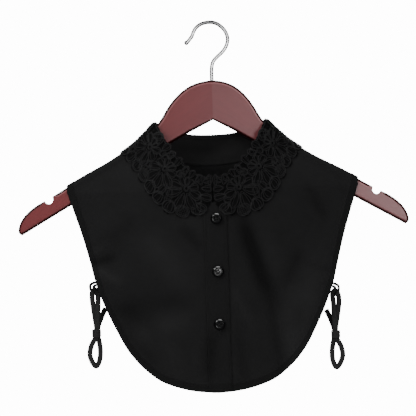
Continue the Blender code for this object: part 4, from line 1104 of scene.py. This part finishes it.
# %% [markdown]
# ## Buttons
# They are pressed, polished discs with a raised rim, a dished middle and four holes. A profile is
# spun round its axis, and a Boolean with four round cutters makes the holes, because drilling is
# what the holes are. The cutters go as soon as the result is read. Threads bridge pairs of holes.
# Studio lamps leave one bright crescent on the upper rim and a dark lower one. A plain surround can't draw
# that, so it is a painted reflection: the strength of each point's reflection follows from the way it
# faces.

# %% Turn and drill one button
BUTTON_SHANK, HOLE_RADIUS, HOLE_SPACING = 0.25, 0.9, 1.75
PROFILE = [
    Point(0.0, 0.0), Point(4.9, 0.0), Point(5.9, 0.35), Point(6.35, 0.9), Point(6.38, 1.3),
    Point(6.25, 1.62), Point(5.95, 1.94), Point(5.5, 2.32), Point(5.05, 2.66), Point(4.7, 2.84),
    Point(4.4, 2.88), Point(4.1, 2.82), Point(3.9, 2.72), Point(3.4, 2.74), Point(2.0, 2.82),
    Point(0.0, 2.85),
]


def as_object(bm, name):
    mesh = bpy.data.meshes.new(name)
    bm.to_mesh(mesh)
    bm.free()
    item = bpy.data.objects.new(name, mesh)
    bpy.context.collection.objects.link(item)
    return item


def turn_button():
    bm = bmesh.new()
    line = [bm.verts.new((p.x, 0, p.z)) for p in PROFILE]
    edges = [bm.edges.new(pair) for pair in zip(line, line[1:])]
    bmesh.ops.spin(bm, geom=line + edges, cent=(0, 0, 0), axis=(0, 0, 1), dvec=(0, 0, 0),
                   angle=2 * math.pi, steps=40, use_merge=True, use_duplicate=False)
    bmesh.ops.remove_doubles(bm, verts=bm.verts, dist=0.002)
    bmesh.ops.recalc_face_normals(bm, faces=bm.faces)
    cutters = bmesh.new()
    for corner in range(4):
        angle = math.radians(45 + 90 * corner)
        drill = bmesh.ops.create_cone(
            cutters, cap_ends=True, segments=14, radius1=HOLE_RADIUS, radius2=HOLE_RADIUS, depth=12)
        spot = (HOLE_SPACING * math.cos(angle), HOLE_SPACING * math.sin(angle), 0)
        bmesh.ops.translate(cutters, verts=drill["verts"], vec=spot)
    blank, drills = as_object(bm, "button blank"), as_object(cutters, "drills")
    cut = blank.modifiers.new("holes", "BOOLEAN")
    cut.operation, cut.solver, cut.object = "DIFFERENCE", "EXACT", drills
    seen = blank.evaluated_get(bpy.context.evaluated_depsgraph_get())
    drilled = bmesh.new()
    drilled.from_mesh(seen.to_mesh())
    seen.to_mesh_clear()
    for item in (blank, drills):
        bpy.data.meshes.remove(item.data)
    return drilled


pattern_button = turn_button()
print("faces on a drilled button:", len(pattern_button.faces))

# %% Place the buttons and sew them on
TILTS = [(4, -3), (3, 5.2), (5, -2)]
BUTTON_SPIN = 17
FLAT_SHINE, LOWER_SHINE, UPPER_SHINE = 0.26, 0.03, 0.9


def mark_shine(bm):
    """Painted reflection: the upper part of the rim shines most, the level face less and the lower rim
    hardly.
    """
    layer = bm.verts.layers.float.new("painted_shine")
    bm.normal_update()
    for vert in bm.verts:
        level = smooth_step((-vert.normal.y - 0.955) / 0.035)
        upward = smooth_step((vert.normal.z - 0.2) / 0.3)
        vert[layer] = float(FLAT_SHINE * level + (1 - level) * (LOWER_SHINE + UPPER_SHINE * upward))


thread_bm = bmesh.new()
for number, (height, tilt) in enumerate(zip(BUTTON_HEIGHTS, TILTS), 1):
    seat = float(front_y(np.array(BUTTON_X), height))
    seat -= CLOTH + BAND_WALL + 2 * SEAM_GAP + BUTTON_SHANK
    aside = Matrix.Rotation(math.radians(tilt[1]), 4, "Z")
    upright = Matrix.Rotation(math.radians(90 + 0.4 * tilt[0]), 4, "X")
    spin = Matrix.Rotation(math.radians(BUTTON_SPIN * number), 4, "Z")
    move = Matrix.Translation((BUTTON_X, seat, height)) @ (aside @ upright) @ spin
    bm = pattern_button.copy()
    bmesh.ops.transform(bm, matrix=move, verts=bm.verts)
    mark_shine(bm)
    button = finish_piece(bm, f"polished_button_{number}", button_gloss, sharp=45)
    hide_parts(f"button_{number}")
    for way in (-1, 1):
        for lift in (-0.35, 0.35):
            arc = np.linspace(-1, 1, 9)
            bar = np.column_stack([arc * 1.35, np.full(9, way * 1.24 + lift), 2.6 + 0.65 * (1 - arc**4)])
            strand = bmesh.new()
            sweep(strand, bar, 0.26, sides=6)
            bmesh.ops.transform(strand, matrix=move, verts=strand.verts)
            gather(thread_bm, strand)
pattern_button.free()
finish_piece(thread_bm, "button_thread", seam_thread)
print("buttons sewn on:", len(BUTTON_HEIGHTS))

# %% [markdown]
# ## Collar stand
# The stand is a curved band, sewn to the neck seam and leaning inwards to the roll line. Its inner side
# shows through the neck opening, so it has a stitched line along its top, and its tone is painted: lighter
# over its inner face, painted light, and darker along a few soft folds that are too shallow to shape,
# painted shade. Its front ends meet under the lace.

# %% Stand surface and shell
quarter = np.concatenate([np.linspace(0.6, 66, 40), np.linspace(67, 90, 16)])
half_way = np.concatenate([quarter, (180 - quarter[::-1])[1:]])
half_way[-1] = 180
top, bottom = roll_ring(half_way), neck_ring(half_way)
length = np.linalg.norm(bottom - top, axis=1)[:, None]
stand_rows = []
for share in np.concatenate([[0, 0.01, 0.04, 0.08, 0.12], np.linspace(0.18, 1, 14)]):
    row = top + (bottom - top) * share * (1 + 0.4 / length)
    sag = 0.5 * math.sin(math.pi * share) * np.sin(np.radians(half_way) * 7 + 1.2 * share)
    row[:, 1] += sag * np.where(half_way > 90, 1, -1) * (np.abs(np.cos(np.radians(half_way))) ** 0.5)
    stand_rows.append(both_sides(row))
stand_inner = np.array(stand_rows)
stand_surface = stand_inner + outward(stand_inner) * STAND_WALL
no_hem = np.zeros(stand_surface.shape[:2])
stand = make_shell("sewn_stand", stand_surface, no_hem, "collar_stand", STAND_SHELL, STAND_PAINTED_LIGHT_AND_SHADE)
stand_bm = bmesh.new()
seam_line = both_sides(bottom)
add_sweep(stand_bm, seam_line + unit(seam_line * [1, 1, 0]) * 1.1, 0.6, sides=8)
inner_face = stand_surface - outward(stand_surface) * STAND_SHELL
count = run_stitches(stand_bm, inner_face[4], -outward(stand_surface)[4])
finish_piece(stand_bm, "stand_stitches", seam_thread)
print("stand stitches:", count)

# %% [markdown]
# ## Heavy flower lace
# This lace is thick embroidery whose backing was dissolved, so petals, cords and a little open net
# are all that is left. It is made flat and then laid on the collar, and the same is done here:
# everything is built on a plane, along the neck seam and out from the roll line, and each point is
# then moved to its place on the stand and the bib. A wire frame of a slanted grid is the open net,
# domed petals lie on it, and two cords, one inside the other, run round each petal. Flowers,
# leaves and scallops are of a common kind and freely arranged.

# %% Where the lace lies
LACE_CLEARANCE, ARM_CLEARANCE, LACE_OVER_TOP, BAND_STEP = 0.5, -0.35, 0.6, BAND_WALL + SEAM_GAP
SCALLOP, SCALLOP_DEPTH, LACE_FRONT = 13.8, 4.4, 7.0
LACE_REACH = [
    Point(0, 31), Point(6, 37.5), Point(12, 41.5), Point(20, 47), Point(30, 51), Point(42, 53),
    Point(54, 52.5), Point(66, 51), Point(82, 48.5), Point(94, 48), Point(108, 49.5),
    Point(122, 52), Point(150, 55), Point(180, 57), Point(205, 56), Point(240, 53),
]
SADDLE_FROM, SADDLE_TO = np.interp([SADDLE_START - 4, 184 - SADDLE_START], NECK_ANGLES, NECK_LENGTHS)


def lace_floor(along, out, side):
    """The stand and then the bib, at a place given along the neck seam and out from the roll."""
    angle = np.interp(along, NECK_LENGTHS, NECK_ANGLES)
    roll, neck, fall = roll_ring(angle), neck_ring(angle), fall_ring(angle)
    stand = np.linalg.norm(neck - roll, axis=1)
    below = np.linalg.norm(fall - neck, axis=1)
    on_stand = roll + (neck - roll) * (out / stand)[:, None]
    share = (out - stand) / below
    on_bib = neck + (fall - neck) * share[:, None]
    is_back = angle > 90
    flat = np.where(is_back, 180 - angle, angle) < SADDLE_START
    x, z = on_bib[:, 0], on_bib[:, 2].copy()
    depth = np.where(is_back, panel_y(x, z, True), front_y(x * side, z))
    on_bib[:, 1] = np.where(flat, depth, on_bib[:, 1])
    chord = neck[:, 2] + (fall[:, 2] - neck[:, 2]) * share
    straight = cloth_ridge(neck[:, 0]) + (cloth_ridge(fall[:, 0]) - cloth_ridge(neck[:, 0])) * share
    on_bib[:, 2] = np.where(flat, z, chord + cloth_ridge(x) - straight)
    floor = np.where((out <= stand)[:, None], on_stand, on_bib)
    band_reach = BAND_RIGHT if side > 0 else -BAND_LEFT
    over_band = smooth_step((band_reach + 8 - floor[:, 0]) / 7) * smooth_step((out - stand + 12) / 8)
    floor[:, 1] -= np.where(is_back, 0, BAND_STEP * over_band)
    return floor


def lay_on_collar(bm, side):
    """Moves flat points (along, out, height) to the collar."""
    flat = np.array([vert.co[:] for vert in bm.verts])
    along, out, height = np.clip(flat[:, 0], 0.2, LACE_LENGTH), flat[:, 1], flat[:, 2]
    step = 1.5
    here = lace_floor(along, out, side)
    sideways = lace_floor(np.clip(along + step, 0, LACE_LENGTH), out, side)
    sideways -= lace_floor(np.clip(along - step, 0, LACE_LENGTH), out, side)
    outwards = lace_floor(along, out + 2 * step, side) - lace_floor(along, out - 2 * step, side)
    over_arm = smooth_step((along - SADDLE_FROM + 6) / 8) * smooth_step((SADDLE_TO + 6 - along) / 8)
    lift = STAND_WALL + LACE_CLEARANCE + ARM_CLEARANCE * over_arm + height
    points = here + unit(np.cross(outwards, sideways)) * lift[:, None]
    points[:, 0] *= side
    for vert, point in zip(bm.verts, points.tolist()):
        vert.co = point


def lace_reach(along):
    curve = smooth_curve(LACE_REACH, 6)
    return np.interp(along, curve[:, 0], curve[:, 1])


print("lace over the arm from", round(float(SADDLE_FROM)), "to", round(float(SADDLE_TO)), "mm along")

# %% Flowers, holes, lobes and leaves
Flower = namedtuple("Flower", "along out radius petals turn")
Hole = namedtuple("Hole", "along out radius")
Leaf = namedtuple("Leaf", "along out heading length half_width bend rise", defaults=(0.0,))
FLOWERS = [
    Flower(34, 19, 19, 9, 10), Flower(70, 18, 18, 9, 28), Flower(105, 18, 17, 9, 6),
    Flower(141, 19, 19, 9, 30), Flower(178, 20, 19, 9, 14), Flower(212, 19, 17, 9, 32),
]
FLOWER_LEAN = 0.36
HOLES = [
    Hole(52, 10, 2.8), Hole(88, 9.5, 2.7), Hole(123, 10, 2.8), Hole(160, 10.5, 2.8),
    Hole(195.5, 10.5, 2.7), Hole(51.5, 31, 2.6), Hole(87.5, 29.5, 2.5), Hole(123.5, 31, 2.6),
    Hole(160, 33, 2.7), Hole(195.5, 33, 2.6), Hole(16, 27, 2.5),
]
LACE_END = LACE_LENGTH - 0.8
LOBE_COUNT = round((LACE_END - LACE_FRONT) / SCALLOP)
LOBE_PITCH = (LACE_END - 0.5 - LACE_FRONT) / LOBE_COUNT
LOBE_WIDTH, LOBE_HEIGHT = LOBE_PITCH / 2 - 0.35, 6.6
LOBES = [LACE_END - 0.5 - LOBE_PITCH * (k + 0.5) for k in range(LOBE_COUNT)]
LEAVES = [
    Leaf(16, 5, 196, 14, 3.6, 0.8), Leaf(16.2, 12.5, 184, 15, 3.9, -0.8, 0.3),
    Leaf(16, 21, 170, 14.5, 3.9, 0.8), Leaf(17, 29.5, 150, 13, 3.8, -0.8, 0.3),
]
for number, along in enumerate(LOBES):
    if number % 4 != 2:
        tip = float(np.interp(along, *zip(*LACE_REACH))) - 0.5
        heading, bend = 90 + 7 * math.sin(3 * number), 0.8 * math.sin(2 * number)
        LEAVES.append(Leaf(along, tip - 14, heading, 14, 5.3, bend, -0.25))
for left, right in zip(FLOWERS, FLOWERS[1:]):
    middle = (left.along + right.along) / 2
    LEAVES += [
        Leaf(middle - 3, 27, 105, 15, 3.6, -0.8, -0.1), Leaf(middle + 3, 27, 75, 15, 3.6, 0.8, -0.1),
    ]
for flower in FLOWERS:
    for k in range(flower.petals):
        heading = flower.turn + 360 * k / flower.petals
        length = flower.radius * (1 + FLOWER_LEAN * math.sin(math.radians(heading)))
        start = 0.2 * length
        away = math.radians(heading)
        LEAVES.append(Leaf(
            flower.along + start * math.cos(away), flower.out + start * math.sin(away),
            heading + 4 * math.sin(2.3 * k + flower.along),
            (0.82 + 0.06 * math.sin(3.1 * k + flower.out)) * length,
            min(5.3, 0.29 * length), 1.6 * math.sin(1.7 * k + flower.along), 0.3 * (k % 2),
        ))
place, number = 4.5, 0
while place < LACE_END - 4:
    lean, grow = math.sin(2.1 * number), math.sin(1.3 * number + 0.7)
    start = 8.6 + 0.8 * grow if place < LACE_LENGTH / 2 else 12.4
    LEAVES.append(Leaf(
        place, start, -90 + 42 * lean, 12.2 + 1.4 * grow, 4.5 + 0.6 * lean, 1.6 * grow, 0.35))
    place, number = place + 9.6 + 2.2 * grow, number + 1
print("lobes:", LOBE_COUNT, "petals and leaves:", len(LEAVES))

# %% Petal shape
PETAL_BASE, PETAL_DOME = 0.5, 0.5


def petal_frame(leaf, s, t):
    """Flat place of a point s along a petal (0 to 1) and t across it (-1 to 1)."""
    wide = leaf.half_width * np.sin(math.pi * np.clip(s, 0, 1) ** 1.6) ** 0.5
    run = leaf.length * s
    aside = t * wide + leaf.bend * s * s
    away = math.radians(leaf.heading)
    return np.column_stack([
        leaf.along + run * math.cos(away) - aside * math.sin(away),
        leaf.out + run * math.sin(away) + aside * math.cos(away)])


def petal_height(s, t):
    dome = PETAL_DOME * np.maximum(1 - t * t, 0) ** 0.5 * np.sin(math.pi * np.clip(s, 0.02, 0.98)) ** 0.4
    ribs = 0.16 * np.cos(3 * math.pi * t) * np.sin(math.pi * s)
    return PETAL_BASE + dome - 0.35 * np.exp(-((t / 0.16) ** 2)) * np.sin(math.pi * s) + ribs


def add_petal(bm, leaf):
    petal = bmesh.new()

    def place(u, v):
        t = 2 * u - 1
        return np.column_stack([petal_frame(leaf, v, t), petal_height(v, t) + leaf.rise])

    lay_grid(petal, 12, 11, place, lambda u, v: (leaf.half_width * 2 * u, leaf.length * v))
    bmesh.ops.remove_doubles(petal, verts=petal.verts, dist=0.01)
    petal.normal_update()
    if sum(face.normal.z for face in petal.faces) < 0:
        bmesh.ops.reverse_faces(petal, faces=petal.faces)
    bmesh.ops.solidify(petal, geom=petal.faces[:], thickness=0.45)
    gather(bm, petal)


def petal_outline(leaf, t, steps, lift, ends=(0.03, 0.985)):
    s = np.linspace(*ends, steps)
    there, back = np.full(steps, t), np.full(steps, -t)
    flat = np.vstack([petal_frame(leaf, s, there), petal_frame(leaf, s[::-1], back)])
    return np.column_stack([flat, np.full(len(flat), lift + leaf.rise)])


print("petal dome in mm:", PETAL_DOME)

# %% Open net between the petals
NET_PITCH, NET_BAR = 2.15, 1.1


def outline_flat():
    """The scalloped outline of one half, flat and closed."""
    steps = np.linspace(0, LOBE_COUNT, LOBE_COUNT * 9 + 1)
    along = LACE_END - 0.5 - LOBE_PITCH * steps
    bump = np.abs(np.sin(math.pi * steps)) ** 0.6
    fall = np.column_stack([along, lace_reach(along) - SCALLOP_DEPTH * (1 - bump)])
    roll = np.column_stack([np.linspace(1.5, LACE_END, 60), np.full(60, -LACE_OVER_TOP)])
    back = np.column_stack([np.full(8, LACE_END), np.linspace(4, lace_reach(LACE_END) - 5, 8)])
    front = np.column_stack([
        LACE_FRONT + (2.0 - LACE_FRONT) * np.linspace(0.2, 1, 8) ** 0.5,
        np.linspace(float(lace_reach(LACE_FRONT)) - SCALLOP_DEPTH - 2, 4, 8)])
    return roll, back, fall, front


def inside(points, loop):
    x, y = points[:, 0][:, None], points[:, 1][:, None]
    ax, ay = loop[:, 0], loop[:, 1]
    bx, by = np.roll(ax, -1), np.roll(ay, -1)
    crosses = (ay > y) != (by > y)
    with np.errstate(divide="ignore", invalid="ignore"):
        at_x = ax + (y - ay) * (bx - ax) / (by - ay)
    return (crosses & (x < at_x)).sum(axis=1) % 2 == 1


def make_net():
    bm = bmesh.new()
    half = (LACE_LENGTH / 2 + 32) / math.sqrt(2)
    count = round(2 * half / NET_PITCH)
    bmesh.ops.create_grid(bm, x_segments=count, y_segments=count, size=half)
    bmesh.ops.rotate(bm, verts=bm.verts, cent=(0, 0, 0), matrix=Matrix.Rotation(math.radians(45), 3, "Z"))
    bmesh.ops.translate(bm, verts=bm.verts, vec=(LACE_LENGTH / 2, 28, 0.05))
    faces = list(bm.faces)
    middle = np.array([face.calc_center_median()[:2] for face in faces])
    keep = inside(middle, np.vstack(outline_flat()))
    for hole in HOLES:
        keep &= np.hypot(middle[:, 0] - hole.along, middle[:, 1] - hole.out) > hole.radius + 0.3
    for leaf in LEAVES:
        hidden = petal_outline(leaf, 0.62, 12, 0)[:, :2]
        keep &= ~inside(middle, hidden)
    bmesh.ops.delete(bm, geom=[face for face, kept in zip(faces, keep) if not kept], context="FACES")
    bmesh.ops.wireframe(bm, faces=bm.faces[:], thickness=NET_BAR, offset=0.0, use_replace=True,
                        use_boundary=True, use_even_offset=True)
    bmesh.ops.scale(bm, verts=bm.verts, vec=(1, 1, 0.4))
    bmesh.ops.translate(bm, verts=bm.verts, vec=(0, 0, 0.2))
    layer = bm.loops.layers.uv.verify()
    for face in bm.faces:
        for loop in face.loops:
            loop[layer].uv = (loop.vert.co.x * MM, loop.vert.co.y * MM)
    return bm


ground = make_net()
print("net faces:", len(ground.faces))

# %% Petals on the net
petals = bmesh.new()
for leaf in LEAVES:
    add_petal(petals, leaf)
gather(ground, petals)
print("ground faces:", len(ground.faces))

# %% Cords of one half
def flat_ring(along, out, wide, deep, lift, power=1.0):
    turn = np.linspace(0, 2 * math.pi, 24, endpoint=False)
    c, s = squarish(np.cos(turn), power), squarish(np.sin(turn), power)
    return np.column_stack([along + wide * c, out + deep * s, np.full(24, lift)])


def add_cord(path, radius, closed=True, sides=5):
    add_sweep(cords, path, radius, sides=sides, closed=closed)


cords = bmesh.new()
for leaf in LEAVES:
    add_cord(petal_outline(leaf, 1.0, 14, 0.95), 0.48)
    add_cord(petal_outline(leaf, 0.48, 11, 1.25, (0.16, 0.88)), 0.36, sides=4)
for flower in FLOWERS:
    for radius, thick, lift in ((3.1, 0.55, 1.0), (1.9, 0.5, 1.3)):
        add_cord(flat_ring(flower.along, flower.out, radius, radius, lift)[::2], thick)
for hole in HOLES:
    for grow, lift in ((0.55, 0.6), (1.5, 0.5)):
        radius = hole.radius + grow
        add_cord(flat_ring(hole.along, hole.out, radius, radius, lift)[::2], 0.42)
for number, along in enumerate(LOBES):
    centre = float(lace_reach(along)) - LOBE_HEIGHT
    meshed = number % 4 == 2
    for grow, thick, lift in ((1.0, 0.5, 0.75), (0.78, 0.36, 0.7))[:2 if meshed else 1]:
        wide, deep = LOBE_WIDTH * grow, (LOBE_HEIGHT - 0.5) * grow
        add_cord(flat_ring(along, centre, wide, deep, lift, 0.85), thick)
    for row in np.linspace(-0.6, 0.6, 5) if meshed else ():
        reach = np.array([-1, -0.5, 0, 0.5, 1]) * 0.78 * math.sqrt(1 - row * row)
        for across, down in ((row + 0 * reach, reach), (reach, row + 0 * reach)):
            bar = np.column_stack([
                along + LOBE_WIDTH * across, centre + LOBE_HEIGHT * down, np.full(5, 0.6)])
            add_cord(bar, 0.26, closed=False, sides=4)
for out, thick, lift in ((-0.2, 0.9, -0.6), (0.6, 0.45, 0.5)):
    run = np.arange(1.5, LACE_END - 0.8, 1.6)
    edge = np.column_stack([run, np.full(len(run), out), np.full(len(run), lift)])
    add_cord(edge, thick, closed=False)
back = outline_flat()[1]
line = evenly(np.vstack([[[back[0, 0], -1.5]], back]), 30)
for shift in (0.0, 1.2):
    add_cord(np.column_stack([line - [shift, 0], np.full(30, 0.6)]), 0.5, closed=False)
print("cord faces:", len(cords.faces))

# %% Lay both halves on the collar
for name, side in (("left", -1), ("right", 1)):
    sheet_bm, cord_bm = ground.copy(), cords.copy()
    lay_on_collar(sheet_bm, side)
    lay_on_collar(cord_bm, side)
    sheet = finish_piece(sheet_bm, f"lace_ground_{name}", lace_fill)
    outline = finish_piece(cord_bm, f"lace_cords_{name}", lace_thread)
    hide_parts(f"lace_{name}")
    surface = sum(face.area for face in sheet.data.polygons) / 2
    faces = len(sheet.data.polygons), len(outline.data.polygons)
    print(name, "lace area m2:", round(surface, 5), "faces:", *faces)
ground.free()
cords.free()

# %% [markdown]
# ## Side ties
# A thin cord loop is caught in each front's edge. The strap is sewn to the back, folded through the
# loop and gathered by a ridged keeper, below which it forms a drop. Strap and loop are swept grids,
# the keeper is a grid wrapped round an upright line. The right tie hangs lower and leans in, as
# pictured. Strap and loop are drawn thicker than they are, against the bright surround.

# %% Routes of the ties
Tie = namedtuple("Tie", "name side drop lean out")
TIES = [Tie("left", -1, 0.0, 0.0, 0.0), Tie("right", 1, 9.5, 4.0, 3.2)]
TIE_TOP_Z, TIE_LENGTH, TIE_EDGE_SLOPE = -288.0, 97.0, 0.3
STRAP_PATH = [
    (126.2, 9.6, -320.5), (128.8, 8.0, -325.5), (131.8, 4.8, -332.5), (134.6, 2.8, -340),
    (136.0, 2.5, -348), (133.9, 2.3, -358), (132.9, 1.9, -368), (134.0, 1.5, -378),
    (138.0, 1.1, -385.3), (142.6, 0.7, -380), (144.9, 0.3, -371), (142.6, 0.1, -361),
    (137.6, 0.0, -352), (136.4, 0.0, -343), (137.6, 0.0, -332), (139.2, -0.1, -320),
    (140.4, -0.3, -308), (140.0, -0.8, -301.5), (137.1, -1.5, -298.2), (134.1, -2.1, -301.5),
    (133.5, -2.4, -308), (134.2, -2.5, -322), (135.6, -2.5, -336), (136.2, -2.5, -349),
]
LOOP_PATH = [
    (136.3, -12.4, -288.6), (138.8, -11.2, -289.4), (141.6, -8.2, -291.8), (141.2, -5.6, -297.2),
    (137.6, -4.2, -301.4), (136.9, -0.6, -301.9), (137.0, 3.0, -301.4), (138.4, 4.4, -297.0),
    (138.2, 1.2, -293.6), (137.0, -5.2, -292.8), (135.6, -11.9, -291.8),
]
STRAP_HALF, LOOP_RADIUS, LOOP_DROP = (3.0, 0.8), 1.55, 1.2
KEEPER_CENTRE, KEEPER_INNER, KEEPER_HEIGHT = (136.6, 0.0, -347.6), (3.8, 4.1), 8.4
KEEPER_TURNS, KEEPER_STEPS, KEEPER_OUTSIDE = 44, 40, 0.8


def tie_route(path, tie, per_span):
    route = smooth_curve(path, per_span)
    hang = np.clip((TIE_TOP_Z - route[:, 2]) / TIE_LENGTH, 0, 1)
    swing = tie.out * smooth_step(hang / 0.28) - tie.lean * hang
    route[:, 0] = (route[:, 0] + swing - TIE_EDGE_SLOPE * tie.drop) * tie.side
    route[:, 2] -= tie.drop
    return route


for tie in TIES:
    bm = bmesh.new()
    strap_line = tie_route(STRAP_PATH, tie, 6)
    sweep(bm, strap_line, *STRAP_HALF, sides=14, up=(0, -1, 0), square=0.7)
    strap = finish_piece(bm, f"folded_strap_{tie.name}", strap_cloth)
    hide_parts(f"strap_{tie.name}")
    bm = bmesh.new()
    loop_line = tie_route(LOOP_PATH, tie, 7)
    sweep(bm, loop_line - [0, 0, LOOP_DROP], LOOP_RADIUS, sides=10, up=(0.2, -1, 0.1))
    loop = finish_piece(bm, f"thin_cord_{tie.name}", strap_cloth)
    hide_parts(f"cord_loop_{tie.name}")
    spans = [round(lengths_along(line)[-1]) for line in (strap_line, loop_line)]
    print(tie.name, "strap and cord in mm:", *spans)

# %% Ridged keepers
for tie in TIES:
    centre = tie_route([KEEPER_CENTRE, KEEPER_CENTRE], tie, 1)[0]
    bm = bmesh.new()

    def place(u, v):
        """Up the ridged outside first, then down the plain inside."""
        c, s = squarish(np.cos(2 * math.pi * u), 0.5), squarish(np.sin(2 * math.pi * u), 0.5)
        way = np.rint(v * KEEPER_STEPS) / KEEPER_STEPS
        up = way / KEEPER_OUTSIDE
        down = (way - KEEPER_OUTSIDE) / (1 - KEEPER_OUTSIDE)
        height = np.where(way < KEEPER_OUTSIDE, -0.5 + up, 0.5 - down)
        ridge = np.where(way < KEEPER_OUTSIDE, 1.0 + 0.42 * np.abs(np.sin(5 * math.pi * up)), 0.0)
        return np.column_stack([
            (KEEPER_INNER[0] + ridge) * c, (KEEPER_INNER[1] + ridge) * s, height * KEEPER_HEIGHT]) + centre

    lay_grid(bm, KEEPER_TURNS, KEEPER_STEPS, place, lambda u, v: (u * 30, v * 9))
    bmesh.ops.remove_doubles(bm, verts=bm.verts, dist=0.004)
    keeper = finish_piece(bm, f"ridged_keeper_{tie.name}", strap_cloth)
    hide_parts(f"keeper_{tie.name}")
print("keepers:", len(TIES))
